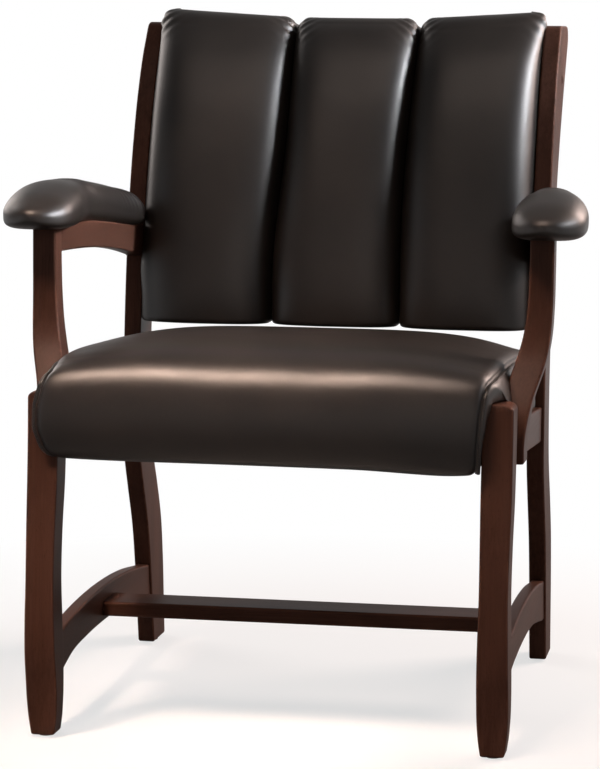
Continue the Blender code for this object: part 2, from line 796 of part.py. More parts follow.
def build_seat_boards(frame, run, spaces, deck_holes):
    """The plywood deck on the rails and the dust cover under them."""
    deck_low = SEAT_RAIL_HEIGHT + FIT
    rear_v = rear_rail_place(run) + CROSS_RAIL_THICKNESS
    deck = box(
        "seat_deck",
        (DECK_INSET - RAIL_OUTER, front_rail_place() + DECK_INSET, deck_low),
        (RAIL_OUTER - DECK_INSET, rear_v - DECK_INSET, deck_low + DECK_THICKNESS),
        "plywood", 0, frame,
    )
    cut(deck, *spaces, *deck_holes)
    mirror_across(deck)
    margin = DUST_COVER_MARGIN
    cover = box(
        "seat_dust_cover",
        (-RAIL_OUTER + margin, margin, -FIT - DUST_COVER_THICKNESS),
        (RAIL_OUTER - margin, rear_v - margin, -FIT),
        "black_cambric", 0, frame,
    )
    cut(cover, spaces[1])
    mirror_across(cover)


def spread(value, power):
    """Move a place between -1 and 1 towards its end, for a squarer corner."""
    return math.copysign(abs(value) ** power, value)


def rail_top(y):
    """Height of the side rails' top at a distance from the front."""
    along = y - leg_rear(SEAT_RAIL_BOTTOM)
    return SEAT_RAIL_BOTTOM + SEAT_RAIL_HEIGHT / math.cos(SEAT_TILT) - along * math.tan(SEAT_TILT)


def build_cushion(spaces):
    """Seat cushion: crowned, drawn in at the sides, with a front roll over the front rail."""

    def shape(s, t, r):
        row = CUSHION_SHAPE_SHARES[round((t + 1) * CUSHION_ROWS / 2)]
        height = (r + 1) / 2
        in_roll = 1 - row[3]
        draw_in = CUSHION_ROLL_DRAW_IN * smooth_value(CUSHION_ROLL_SHARES, 1, height) * in_roll
        x = spread(s, 0.7) * (CUSHION_HALF * row[1] - draw_in)
        y = CUSHION_FRONT + CUSHION_LENGTH * row[0]
        if row[0] == 0:
            y -= CUSHION_NOSE * smooth_value(CUSHION_ROLL_SHARES, 2, height)
        top = CUSHION_TOP - CUSHION_FALL * row[2] - CUSHION_CROWN * abs(spread(s, 0.7)) ** 4.4
        roll_bottom = CUSHION_TOP - CUSHION_ROLL
        bottom = roll_bottom + (rail_top(y) - CUSHION_SINK - roll_bottom) * row[3]
        return x, y, bottom + (top - bottom) * height

    cushion = soft_block("seat_cushion", (8, CUSHION_ROWS, CUSHION_LAYERS), shape, "black_leather")
    cut(cushion, *spaces)
    mirror_across(cushion)
    return cushion


def cushion_spaces(frame, run):
    """What the cushion rests on and is fitted round, grown by its soft gap."""
    gap = SOFT_GAP
    rear_v = rear_rail_place(run) + CROSS_RAIL_THICKNESS
    rails = box(
        "rails_room",
        (-POST_HALF, front_rail_place() - gap, -SEAT_RAIL_HEIGHT),
        (POST_HALF, rear_v + CROSS_RAIL_THICKNESS, SEAT_RAIL_HEIGHT + gap), parent=frame)
    half = RAIL_OUTER - DECK_INSET + gap
    deck = box(
        "deck_room",
        (-half, front_rail_place() + DECK_INSET - gap, 0),
        (half, rear_v - DECK_INSET + gap, SEAT_RAIL_HEIGHT + DECK_THICKNESS + gap), parent=frame)
    leg_room = loft("leg_room", leg_rings(gap), None)
    post_room = sawn_board(
        "post_room", post_outline(gap), POST_THICKNESS + 2 * gap, "side", POST_CENTRE, None)
    support_room = loft("support_room", support_rings(gap), None)
    return rails, deck, leg_room, post_room, support_room


def edge_height(shares, base, rise, share):
    """Height of a stretcher's edge at a share of its length."""
    return base + rise * smooth_value(shares, 1, share)


def build_stretchers(leg, post, leg_space, post_space):
    """The arched side stretcher and the flat cross stretcher that ties the pair."""
    middle = (STRETCHER_END_TOP + STRETCHER_END_BOTTOM) / 2
    start, end = leg_rear(middle), post_front(middle)
    stations = np.linspace(0, 1, STRETCHER_STEPS)
    run_start, run_end = start - LEG_DEPTH / 3, end + POST_DEPTH / 3
    span = run_end - run_start

    def share_of(y):
        return min(max((y - start) / (end - start), 0), 1)

    top = []
    bottom = []
    for station in stations:
        y = run_start + span * float(station)
        share = share_of(y)
        top.append((y, edge_height(STRETCHER_TOP_SHARES, STRETCHER_END_TOP, STRETCHER_TOP_RISE, share)))
        bottom.append((y, edge_height(
            STRETCHER_BOTTOM_SHARES, STRETCHER_END_BOTTOM, STRETCHER_BOTTOM_RISE, share)))
    side = sawn_board(
        "side_stretcher_right", bottom + top[::-1], STRETCHER_THICKNESS, "side", POST_CENTRE, "cherry_wood")
    cut(side, leg_space, post_space)
    x0 = POST_CENTRE - STRETCHER_TENON_THICKNESS / 2
    x1 = POST_CENTRE + STRETCHER_TENON_THICKNESS / 2
    z0, z1 = middle - STRETCHER_TENON_HEIGHT / 2, middle + STRETCHER_TENON_HEIGHT / 2
    for target, low, high in (
        (leg, start - STRETCHER_TENON_DEPTH, start + JOIN_OVERLAP),
        (post, end - JOIN_OVERLAP, end + STRETCHER_TENON_DEPTH),
    ):
        tongue, socket = tenon("stretcher_" + target.name, (x0, low, z0), (x1, high, z1), None)
        join(side, tongue)
        cut(target, socket)
    inner = POST_CENTRE - STRETCHER_THICKNESS / 2
    cross = box(
        "cross_stretcher",
        (-inner + FIT, CROSS_CENTRE_Y - CROSS_BREADTH / 2, CROSS_BOTTOM),
        (inner - FIT, CROSS_CENTRE_Y + CROSS_BREADTH / 2, CROSS_BOTTOM + CROSS_THICKNESS),
        "cherry_wood", EDGE_EASE,
    )
    tongue_z = CROSS_BOTTOM + (CROSS_THICKNESS - CROSS_TENON_THICKNESS) / 2
    tongue, socket = tenon(
        "cross",
        (inner - JOIN_OVERLAP, CROSS_CENTRE_Y - CROSS_TENON_BREADTH / 2, tongue_z),
        (
            inner + CROSS_TENON_DEPTH,
            CROSS_CENTRE_Y + CROSS_TENON_BREADTH / 2,
            tongue_z + CROSS_TENON_THICKNESS,
        ),
        None,
    )
    join(cross, tongue)
    cut(side, socket)
    mirror_across(cross)


def build_arm_support(frame, side_rail):
    """The arm support, notched over the side rail and screwed on from inside it."""
    support = loft("arm_support_right", support_rings(), "cherry_wood", EDGE_EASE)
    margin = FIT
    run = POST_FRONT
    notch = box(
        "support_notch",
        (RAIL_INNER - LEG_WIDTH, -LEG_DEPTH, -CUT_OVERRUN * 2),
        (RAIL_OUTER + margin, run, SEAT_RAIL_HEIGHT + margin), parent=frame)
    cut(support, notch)
    front, rear = support_section(SUPPORT_BOTTOM)[2:]
    centre_v = (front + rear) / 2 - leg_rear(SEAT_RAIL_BOTTOM)
    for place, name in ((-1, "lower"), (1, "upper")):
        w = SEAT_RAIL_HEIGHT * (SUPPORT_SCREW_RISE_SHARE + place * SUPPORT_SCREW_SPACING_SHARE / 2)
        seat = Vector((RAIL_INNER - FIT, centre_v, w))
        turned(
            "support_screw_" + name + "_right", screw_profile(SUPPORT_SCREW_LENGTH), "zinc_steel",
            seat, (-1, 0, 0), parent=frame)
        hole = bore(
            "support_screw_hole_" + name, SHANK_RADIUS + SCREW_SLACK,
            seat - Vector((CUT_OVERRUN, 0, 0)), (1, 0, 0), SUPPORT_SCREW_LENGTH + CUT_OVERRUN + FIT, frame)
        cut(side_rail, hole)
        cut(support, hole)
    return support


def arm_line():
    """Start, end, direction and turn of the arm rail's centre line in plan."""
    section = support_section(SUPPORT_TOP)
    inner, rear = section[0], section[3]
    z = ARM_RAIL_TOP - ARM_RAIL_HEIGHT / 2
    start = Vector((inner + ARM_RAIL_THICKNESS / 2, rear, 0))
    end = Vector((POST_CENTRE, post_front(z), 0))
    turn = math.atan2(start.x - end.x, end.y - start.y)
    return start, end, turn


def arm_rail_top(share):
    """Height of the arm rail's top edge, at a share of its run from the support."""
    share = max(share, 0)
    crown = ARM_RAIL_CROWN * math.sin(math.pi * min(share, 1) ** 0.8)
    return ARM_RAIL_TOP + crown * (1 - share) - ARM_RAIL_FALL * share


def arm_rail_bottom(share):
    """Height of the arm rail's arched lower edge."""
    tail = ARM_RAIL_TAIL * share**3
    return ARM_RAIL_TOP - ARM_RAIL_HEIGHT - ARM_RAIL_FALL * share**2 - tail


def arm_rail_shares(length):
    """Stations along the arm rail, from the support to a little inside the post."""
    return [float(share) for share in np.linspace(0, 1 + POST_DEPTH / 2 / length, ARM_RAIL_STEPS)]


def under_pad(name, line, length, gap):
    """A wide cutter that fills all below the arm rail's top edge and a gap over it."""
    shares = arm_rail_shares(length)
    top = [(length * s, arm_rail_top(s) + gap) for s in shares]
    top[0] = (-PAD_FRONT * 2, top[0][1])
    low = ARM_RAIL_TOP - 2 * PAD_HEIGHT
    outline = [(top[0][0], low), (top[-1][0], low)] + top[::-1]
    return sawn_board(name, outline, 4 * PAD_HALF, "side", 0, None, parent=line)


def build_arm_rail(chair, support, post):
    """The arm rail, in its own turned frame, with tenons in the support and the post."""
    start, end, turn = arm_line()
    line = bpy.data.objects.new("arm_line", None)
    bpy.data.collections[PARTS].objects.link(line)
    line.parent = chair
    line.location = start
    line.rotation_euler = (0, 0, turn)
    length = (end - start).length
    shares = arm_rail_shares(length)
    bottom = [(length * s, arm_rail_bottom(s)) for s in shares]
    top = [(length * s, arm_rail_top(s)) for s in shares]
    bottom[0] = (-SUPPORT_DEPTH / 2, bottom[0][1])
    top[0] = (-SUPPORT_DEPTH / 2, top[0][1])
    rail = sawn_board(
        "arm_rail_right", bottom + top[::-1], ARM_RAIL_THICKNESS, "side", 0, "cherry_wood", parent=line)
    support_space = loft("support_space", support_rings(FIT, CUT_OVERRUN), None)
    scribe = sawn_board("post_scribe", post_outline(FIT), POST_THICKNESS * 2, "side", POST_CENTRE, None)
    cut(rail, support_space, scribe)
    half = ARM_TENON_THICKNESS / 2
    for target, place, outward, share in ((support, 0, -1, 0), (post, length, 1, 1)):
        z1 = arm_rail_top(share) - ARM_TENON_DROP
        ends = sorted((place + outward * ARM_TENON_DEPTH, place - outward * 2 * JOIN_OVERLAP))
        tongue, socket = tenon(
            "arm_" + target.name, (-half, ends[0], z1 - ARM_TENON_HEIGHT), (half, ends[1], z1), line)
        join(rail, tongue)
        cut(target, socket)
    return line, length


def pad_base(y):
    """Height of the pad board's underside, level with the rail's and support's tops."""
    start, end = arm_line()[:2]
    return arm_rail_top((y - start.y) / (end.y - start.y))


def pad_section(y):
    """Centre X, half width and height of the arm pad at a distance from the front."""
    share = (y - PAD_FRONT) / (PAD_BACK - PAD_FRONT)
    offset, half, height = (smooth_value(PAD_SHAPE_SHARES, c, share) for c in (1, 2, 3))
    rear_x = arm_line()[1].x - PAD_OFFSET / 20
    centre = rear_x + PAD_OFFSET * offset
    return centre, PAD_HALF * half, PAD_HEIGHT * height


def pad_board_rings(grow=0.0):
    """Rings of the pad board: a strip that follows the pad's plan and the rail's top."""
    rings = []
    first = PAD_FRONT + PAD_BOARD_INSET * 1.6
    last = PAD_BACK - PAD_BOARD_INSET
    for y in np.linspace(first, last, 9):
        y = float(y)
        centre, half = pad_section(y)[:2]
        half -= PAD_BOARD_INSET
        z = pad_base(y)
        if y == first:
            y -= grow
        if y == last:
            y += grow
        low, high = z - CUT_OVERRUN, z + PAD_BOARD_THICKNESS + grow
        rings.append([
            (centre - half - grow, y, low), (centre + half + grow, y, low),
            (centre + half + grow, y, high), (centre - half - grow, y, high)])
    return rings


def build_arm_pad(line, length):
    """The leather arm pad, bulbous in front and lean behind, round its stiff board."""
    board = loft("arm_pad_board_right", pad_board_rings(), "plywood")
    cut(board, under_pad("under_board", line, length, FIT))
    rail_top_space = loft("pad_board_space", pad_board_rings(FIT), None)

    def shape(s, t, r):
        share = (t + 1) / 2
        y = PAD_FRONT + (PAD_BACK - PAD_FRONT) * share
        centre, half, height = pad_section(y)
        x = centre + s * half * (1 - PAD_DRAW_IN * max(r, 0))
        crown = smooth_value(PAD_TOP_SHARES, 1, abs(s)) if r > 0 else 1
        z = pad_base(y) - PAD_OVERLAP + height * ((r + 1) / 2) * crown
        return x, y, z

    pad = soft_block("arm_pad_right", (4, 8, 2), shape, "black_leather")
    floor = under_pad("under_leather", line, length, SOFT_GAP / 2)
    cut(pad, floor, rail_top_space)


def back_stations():
    """Heights at which the back's bent boards turn."""
    return np.linspace(BACK_BOTTOM - CUT_OVERRUN, BACK_TOP + CUT_OVERRUN, BACK_STEPS)


def back_heights(low, high):
    """The turning heights between two levels, with the levels themselves."""
    return [low] + [float(z) for z in back_stations() if low + FIT < z < high - FIT] + [high]


def board_front(z):
    """Y of the back board's front face, straight between the turning heights."""
    stations = back_stations()
    faces = [post_front(s) + post_depth(s) * BACK_BOARD_DEPTH_SHARE for s in stations]
    return float(np.interp(z, stations, faces))


def curved_panel(name, front_gap, thickness, low, high, half, finish, ease=0):
    """A panel bent to the posts' curve: front_gap behind the back board's front face."""
    heights = back_heights(low, high)
    front = [(board_front(z) + front_gap, z) for z in heights]
    rear = [(board_front(z) + front_gap + thickness, z) for z in heights[::-1]]
    return sawn_board(name, front + rear, half * 2, "side", 0, finish, ease)


def build_back_frame(post):
    """Back board, the two rails that the posts are screwed to, and the outer cover."""
    half = POST_INNER - BACK_SIDE_GAP
    low, high = BACK_BOTTOM + BACK_BOARD_MARGIN, POST_TOP - BACK_BOARD_MARGIN / 2
    curved_panel("back_board", 0, BACK_BOARD_THICKNESS, low, high, half, "plywood")
    rail_gap = BACK_BOARD_THICKNESS + FIT
    cover_gap = rail_gap + BACK_RAIL_THICKNESS + FIT
    curved_panel("back_cover", cover_gap, BACK_COVER_THICKNESS, low, high, half, "black_leather")
    for name, z in (("upper", BACK_UPPER_RAIL_Z), ("lower", BACK_LOWER_RAIL_Z)):
        rail = curved_panel(
            "back_" + name + "_rail", rail_gap, BACK_RAIL_THICKNESS,
            z - BACK_RAIL_HEIGHT / 2, z + BACK_RAIL_HEIGHT / 2, POST_INNER - FIT, "plywood")
        y = board_front(z) + rail_gap + BACK_RAIL_THICKNESS / 2
        seat = Vector((POST_HALF - COUNTERBORE_DEPTH, y, z))
        turned(
            "back_screw_" + name + "_right", screw_profile(BACK_SCREW_LENGTH), "zinc_steel",
            seat + Vector((FIT, 0, 0)), (1, 0, 0))
        hole = bore(
            "back_screw_hole_" + name, SHANK_RADIUS + SCREW_SLACK,
            seat + Vector((CUT_OVERRUN, 0, 0)), (-1, 0, 0), BACK_SCREW_LENGTH + CUT_OVERRUN + FIT)
        counterbore = bore(
            "counterbore_" + name, PLUG_RADIUS + FIT, seat, (1, 0, 0), COUNTERBORE_DEPTH + CUT_OVERRUN)
        cut(post, counterbore, hole)
        cut(rail, hole)
        mirror_across(rail)
        plug_profile = [
            (0, PLUG_DOME), (PLUG_RADIUS * 0.6, PLUG_DOME * 0.8), (PLUG_RADIUS * 0.95, PLUG_DOME * 0.2),
            (PLUG_RADIUS, 0), (PLUG_RADIUS, -PLUG_DEPTH), (0, -PLUG_DEPTH)]
        turned(
            "post_plug_" + name + "_right", plug_profile, "cherry_wood",
            (POST_HALF, y, z), (1, 0, 0), sides=16)


def build_channels():
    """Three upright channels of the back, each a padded form of its own."""
    post_rooms = {
        side: sawn_board(
            "channel_post_room", post_outline(SOFT_GAP), POST_THICKNESS + 2 * SOFT_GAP, "side",
            side * POST_CENTRE, None)
        for side in (-1, 1)
    }
    half = POST_INNER - BACK_SIDE_GAP
    width = half * 2 / 3
    heights = [float(z) for z in back_stations()]
    front = [(board_front(z) - FIT, z) for z in heights]
    rear = [(board_front(z) + POST_DEPTH, z) for z in heights[::-1]]
    behind = sawn_board("channel_back_space", front + rear, half * 3, "side", 0, None)
    for place, name in ((-1, "left"), (0, "middle"), (1, "right")):
        centre = place * width
        top = BACK_TOP - (BACK_MIDDLE_DROP if place == 0 else 0)

        def shape(s, d, h, centre=centre, top=top, place=place):
            s, h = spread(s, 0.6), spread(h, 0.55)
            outward = s * place
            height = (h + 1) / 2
            flare = BACK_FLARE * max(outward, 0) * max(1 - d, 0) / 2 * height ** 12
            drop = BACK_INNER_DROP * abs(place) * (1 - outward) / 2
            z = BACK_BOTTOM + (top - BACK_BOTTOM - drop) * height
            x = centre + s * (width / 2 - CHANNEL_GAP / 2) + place * flare
            face = BACK_VALLEY + (BACK_BULGE - BACK_VALLEY) * (1 - s**4) * (1 - h**8)
            y_front = post_front(z) - face
            y_back = board_front(z) + BACK_VALLEY
            return x, y_front + (y_back - y_front) * (d + 1) / 2, z

        channel = soft_block("back_channel_" + name, (4, 2, 8), shape, "black_leather")
        cut(channel, behind)
        if place:
            cut(channel, post_rooms[place])


def build_glides(leg, post):
    """A nailed glide under the front and rear foot."""
    front_x = LEG_CENTRE
    front_y = (leg_front(FOOT_HEIGHT) + leg_rear(FOOT_HEIGHT)) / 2
    rear_y = post_front(FOOT_HEIGHT) + post_depth(FOOT_HEIGHT) / 2
    for name, x, y, target in (("front", front_x, front_y, leg), ("rear", POST_CENTRE, rear_y, post)):
        profile = [
            (0, GLIDE_HEIGHT + GLIDE_NAIL_LENGTH), (GLIDE_NAIL_RADIUS, GLIDE_HEIGHT + GLIDE_NAIL_LENGTH),
            (GLIDE_NAIL_RADIUS, GLIDE_HEIGHT), (GLIDE_RADIUS, GLIDE_HEIGHT),
            (GLIDE_RADIUS, GLIDE_HEIGHT / 3), (GLIDE_RADIUS * 0.9, 0), (0, 0)]
        turned("glide_" + name + "_right", profile, "glide_nylon", (x, y, 0), (0, 0, 1), sides=16)
        hole = bore(
            "nail_hole_" + name, GLIDE_NAIL_RADIUS + SCREW_SLACK, (x, y, 0), (0, 0, 1),
            GLIDE_HEIGHT + GLIDE_NAIL_LENGTH + FIT)
        cut(target, hole)


def mirrored_copy(item):
    """Make the left-hand piece from the finished right-hand one."""
    bpy.context.view_layer.update()
    evaluated = item.evaluated_get(bpy.context.evaluated_depsgraph_get())
    mesh = bpy.data.meshes.new_from_object(evaluated)
    mesh.transform(Matrix.Scale(-1, 4, (1, 0, 0)) @ evaluated.matrix_world)
    mesh.flip_normals()
    name = item.name.replace("_right", "_left")
    mesh.name = name
    mesh.materials.clear()
    return add_object(name, mesh, item.material_slots[0].material.name, bpy.data.objects["chair"])


def stand_at_origin(chair):
    """Put the bottom centre of the whole chair at the origin."""
    bpy.context.view_layer.update()
    depsgraph = bpy.context.evaluated_depsgraph_get()
    low = Vector((math.inf,) * 3)
    high = -low
    for item in bpy.data.collections[PARTS].objects:
        if item.type != "MESH":
            continue
        evaluated = item.evaluated_get(depsgraph)
        for corner in evaluated.bound_box:
            place = evaluated.matrix_world @ Vector(corner)
            low = Vector(map(min, low, place))
            high = Vector(map(max, high, place))
    chair.location = (0, -(low.y + high.y) / 2, -low.z)


def main():
    """Build the chair."""
    clear_scene()
    make_collection(PARTS)
    make_collection(CUTTERS)
    make_materials()
    chair, frame = build_root()
    bpy.context.view_layer.update()
    post, leg, post_space, leg_space = build_posts_and_legs()
    side_rail, run = build_seat_frame(frame, post, leg, post_space, leg_space)
    build_stretchers(leg, post, leg_space, post_space)
    support = build_arm_support(frame, side_rail)
    deck_holes = build_corner_blocks(frame, run, leg, post, leg_space, post_space)
    support_space = loft("support_clearance", support_rings(FIT), None)
    build_seat_boards(frame, run, (leg_space, post_space, support_space), deck_holes)
    build_cushion(cushion_spaces(frame, run))
    line, length = build_arm_rail(chair, support, post)
    build_arm_pad(line, length)
    build_back_frame(post)
    build_channels()
    build_glides(leg, post)
    for item in list(bpy.data.objects):
        if item.type == "MESH" and item.parent is None:
            item.parent = chair
    for item in list(bpy.data.collections[PARTS].objects):
        if item.type == "MESH" and item.name.endswith("_right") and "channel" not in item.name:
            mirrored_copy(item)
    stand_at_origin(chair)
    faces = 0
    bpy.context.view_layer.update()
    depsgraph = bpy.context.evaluated_depsgraph_get()
    for item in bpy.data.collections[PARTS].objects:
        if item.type == "MESH":
            mesh = item.evaluated_get(depsgraph).to_mesh()
            mesh.calc_loop_triangles()
            faces += len(mesh.loop_triangles)
            print(f"{item.name:32s} {len(mesh.loop_triangles):6d} triangles")
    print("all", faces)


main()
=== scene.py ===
"""Client chair: its looks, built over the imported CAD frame.

Sabre-shaped posts, bowed front legs and S-shaped arm supports of dark cherry carry a
padded seat with a front roll, a back of three upright channels and two padded arms, all
in near-black leather. Metres, +Z up. The chair faces -Y, and +X is on the right of someone
who looks at its front. The drawing's own front line lies ORIGIN_Y in front of the middle.
"""
import sys
import logging
import math
from dataclasses import dataclass
from enum import Enum

import bpy
import numpy as np
from mathutils import Matrix, Vector


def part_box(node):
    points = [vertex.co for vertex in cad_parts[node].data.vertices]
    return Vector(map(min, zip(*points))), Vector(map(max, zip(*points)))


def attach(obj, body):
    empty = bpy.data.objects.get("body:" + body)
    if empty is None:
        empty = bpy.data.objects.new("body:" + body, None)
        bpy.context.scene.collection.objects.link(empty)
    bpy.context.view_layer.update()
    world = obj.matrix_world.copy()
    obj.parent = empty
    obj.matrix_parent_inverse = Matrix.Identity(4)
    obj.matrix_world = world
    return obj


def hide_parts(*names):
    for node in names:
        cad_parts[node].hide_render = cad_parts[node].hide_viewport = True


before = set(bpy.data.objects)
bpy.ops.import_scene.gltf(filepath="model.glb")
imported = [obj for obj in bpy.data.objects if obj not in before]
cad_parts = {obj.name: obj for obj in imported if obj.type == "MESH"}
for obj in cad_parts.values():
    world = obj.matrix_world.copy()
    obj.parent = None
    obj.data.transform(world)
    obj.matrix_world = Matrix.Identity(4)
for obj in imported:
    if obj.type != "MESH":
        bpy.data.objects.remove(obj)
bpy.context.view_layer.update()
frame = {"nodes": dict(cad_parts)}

Array = np.ndarray
Triple = tuple[float, float, float]
Item, Material = bpy.types.Object, bpy.types.Material
Node, Socket = bpy.types.Node, bpy.types.NodeSocket
log = logging.getLogger("client_chair")

# Place of the drawing's front line, gap between pieces, how far past an eased corner flat shading
# starts, and the points in that corner's arc.
ORIGIN_Y = -0.37053
FIT = 0.0003
SUPPORT_LINE = 0.0008
CORNER_STEPS = 5


class Side(Enum):
    """The two sides of the chair, as someone who looks at its front sees them."""

    LEFT = -1
    RIGHT = 1

    @property
    def word(self) -> str:
        """The side's name in lower case."""
        return self.name.lower()

    @property
    def flip(self) -> Array:
        """Factors that mirror points of the right side onto this one."""
        return np.array([self.value, 1, 1])

    @property
    def outward(self) -> Array:
        """The direction away from the chair's middle."""
        return np.array([self.value, 0.0, 0.0])


class Grain(Enum):
    """The direction that the fibres of a wooden piece run in."""

    UPRIGHT = "upright"
    FORE_AFT = "fore_aft"
    CROSSWISE = "crosswise"


# Shape tables: a share of the length, and then shares of the named sizes.
# Share of the height: splay of the foot, rake of the back, depth.
POST_SHAPE = np.array([
    (0.000, 1.00, 0.00, 0.97), (0.061, 0.88, 0.00, 1.05), (0.136, 0.74, 0.00, 1.13),
    (0.206, 0.55, 0.00, 1.19), (0.267, 0.28, 0.00, 1.19), (0.323, 0.05, 0.00, 1.11),
    (0.390, 0.00, 0.00, 1.00), (0.516, 0.00, 0.02, 0.985), (0.640, 0.00, 0.10, 1.08),
    (0.741, 0.00, 0.21, 1.22), (0.819, 0.00, 0.345, 1.42), (0.897, 0.00, 0.53, 1.66),
    (0.958, 0.00, 0.735, 1.80), (1.000, 0.00, 0.93, 1.80),
])
# Share of the height: bow, depth, taper.
LEG_SHAPE = np.array([
    (0.000, 1.00, 0.81, 1.00), (0.040, 0.93, 0.80, 0.42), (0.100, 0.80, 0.80, -0.04),
    (0.165, 0.55, 0.90, -0.13), (0.250, 0.13, 1.03, -0.06), (0.330, 0.00, 1.05, 0.06),
    (0.460, 0.05, 0.99, 0.28), (0.600, 0.33, 0.97, 0.20), (0.740, 0.78, 1.00, 0.00),
    (0.870, 0.95, 1.07, 0.00), (1.000, 1.00, 1.12, 0.00),
])
# Share of the height: flare, sweep, shoulder, spread of the foot.
SUPPORT_SHAPE = np.array([
    (0.000, 0.00, 0.00, 0.12, 1.00), (0.106, 0.01, 0.00, 0.20, 1.00), (0.169, 0.08, 0.03, 0.48, 0.95),
    (0.244, 0.20, 0.155, 0.84, 0.80), (0.309, 0.34, 0.310, 0.99, 0.65), (0.364, 0.51, 0.458, 0.95, 0.50),
    (0.422, 0.69, 0.612, 0.93, 0.36), (0.489, 0.84, 0.763, 0.77, 0.25), (0.551, 0.92, 0.868, 0.55, 0.15),
    (0.686, 0.985, 0.98, 0.20, 0.05), (0.845, 1.00, 1.00, 0.05, 0.00), (1.000, 1.00, 1.00, 0.00, 0.00),
])
# Share of the length from leg to post: rise.
STRETCHER_TOP = np.array([(0.0, 0.00), (0.18, 0.60), (0.48, 1.00), (0.78, 0.74), (1.0, 0.10)])
STRETCHER_BOTTOM = np.array([
    (0.0, -0.02), (0.063, 0.26), (0.165, 0.72), (0.316, 0.94), (0.446, 1.00),
    (0.56, 0.98), (0.70, 0.83), (0.84, 0.48), (1.0, 0.00),
])
# Path share, 0 to 1 from the rear over the roll and to 2 back underneath: inset of the seam, its
# power, left and right reach. Insets and reaches are in metres, and so are the next four tables.
SEAT_SHAPE = np.array([
    (0.00, 0.012, 4.4, 0.264, 0.264), (0.06, 0.022, 4.4, 0.270, 0.270), (0.14, 0.030, 4.4, 0.277, 0.277),
    (0.60, 0.030, 4.4, 0.279, 0.279), (0.70, 0.029, 4.6, 0.276, 0.2785), (0.76, 0.026, 5.5, 0.271, 0.2755),
    (0.80, 0.020, 7.0, 0.271, 0.2715), (0.84, 0.013, 9.0, 0.279, 0.2675), (0.88, 0.009, 10.0, 0.2850, 0.2645),
    (0.92, 0.007, 10.0, 0.2855, 0.2625), (0.96, 0.006, 9.0, 0.2780, 0.2605),
    (1.00, 0.004, 8.0, 0.2640, 0.2580), (1.08, 0.002, 8.0, 0.2560, 0.2560),
    (1.16, 0.001, 8.0, 0.2640, 0.2640), (1.22, 0.001, 8.0, 0.2855, 0.2855),
    (1.82, 0.001, 8.0, 0.2855, 0.2855), (1.94, 0.006, 5.0, 0.2680, 0.2680), (2.00, 0.012, 4.4, 0.264, 0.264),
])
# Side outline of the seat, Y behind the drawing's front line and Z: over the top and the roll,
# round the roll's underside to the front rail, and up the rear.
SEAT_TOP_LINE = (
    (0.5415, 0.430), (0.5415, 0.448), (0.534, 0.4635), (0.500, 0.4718), (0.440, 0.4808),
    (0.380, 0.4872), (0.280, 0.4938), (0.180, 0.4982), (0.115, 0.4996), (0.065, 0.4988),
    (0.022, 0.4945), (-0.008, 0.4830), (-0.0232, 0.4640), (-0.0280, 0.4400), (-0.0278, 0.4110),
    (-0.0235, 0.3850), (-0.0130, 0.3620), (-0.001, 0.3543), (0.009, 0.3543),
)
SEAT_ROLL_LINE = (
    (0.009, 0.3543), (0.0195, 0.3543), (0.0200, 0.3640), (0.0200, 0.380), (0.0200, 0.400), (0.0210, 0.4100),
)
SEAT_REAR_LINE = ((0.528, 0.3860), (0.538, 0.388), (0.5415, 0.400), (0.5415, 0.415), (0.5415, 0.430))
# Height share, and how far the hand-filled valleys wander from thirds of the back.
VALLEY_DRIFT = np.array([
    (0.00, 0.0040, 0.0020), (0.23, 0.0035, 0.0005), (0.40, 0.0085, 0.0005), (0.57, 0.0135, 0.0020),
    (0.73, 0.0140, 0.0045), (0.88, 0.0125, 0.0060), (1.00, 0.0110, 0.0060),
])
# Share of the pad's length: shares of its offset from the post, half width and height.
PAD_SHAPE = np.array([
    (0.00, 0.98, 0.66, 0.44), (0.08, 1.00, 0.91, 0.69), (0.20, 1.00, 1.00, 0.92),
    (0.36, 0.91, 0.82, 0.95), (0.54, 0.71, 0.64, 0.89), (0.74, 0.43, 0.54, 0.84),
    (0.91, 0.12, 0.51, 0.74), (1.00, -0.06, 0.46, 0.58),
])
# How the leather behaves while it is filled, and for how many frames that takes.
LEATHER_CLOTH = {
    "quality": 5, "mass": 0.25, "tension_stiffness": 18, "compression_stiffness": 18, "shear_stiffness": 8,
    "bending_stiffness": 1.2, "use_pressure": True, "vertex_group_mass": "held",
}
FILLING_FRAMES = 20


def curve_value(table: Array, column: int, share: Array | float) -> Array:
    """Read a column of a shape table on a cubic that passes through every row.

    Args:
        table: rows of shares, the first column rising.
        column: which column to read.
        share: where to read it.

    Returns:
        The column's value at each share.
    """
    stations, values = table[:, 0], table[:, column]
    slopes = np.gradient(values, stations)
    share = np.clip(share, stations[0], stations[-1])
    low = np.clip(np.searchsorted(stations, share) - 1, 0, len(stations) - 2)
    span = stations[low + 1] - stations[low]
    t = (share - stations[low]) / span
    return (
        (2 * t**3 - 3 * t**2 + 1) * values[low]
        + (t**3 - 2 * t**2 + t) * span * slopes[low]
        + (3 * t**2 - 2 * t**3) * values[low + 1]
        + (t**3 - t**2) * span * slopes[low + 1]
    )


def smooth_step(low: float, high: float, value: Array) -> Array:
    """Rise from 0 at low to 1 at high, level at both ends."""
    t = np.clip((value - low) / (high - low), 0, 1)
    return t * t * (3 - 2 * t)


def unit(vectors: Array) -> Array:
    """Scale each vector of the last axis to length one."""
    return vectors / np.maximum(np.linalg.norm(vectors, axis=-1, keepdims=True), 1e-12)


def evenly(points: Array, count: int) -> Array:
    """Read a polyline at equal distances along it.

    Args:
        points: the polyline, one row a point.
        count: how many points to return, with both ends.

    Returns:
        The points, equally far apart along the line.
    """
    run = np.concatenate(([0.0], np.cumsum(np.linalg.norm(np.diff(points, axis=0), axis=1))))
    places = np.linspace(0, run[-1], count)
    return np.stack([np.interp(places, run, points[:, axis]) for axis in range(points.shape[1])], 1)


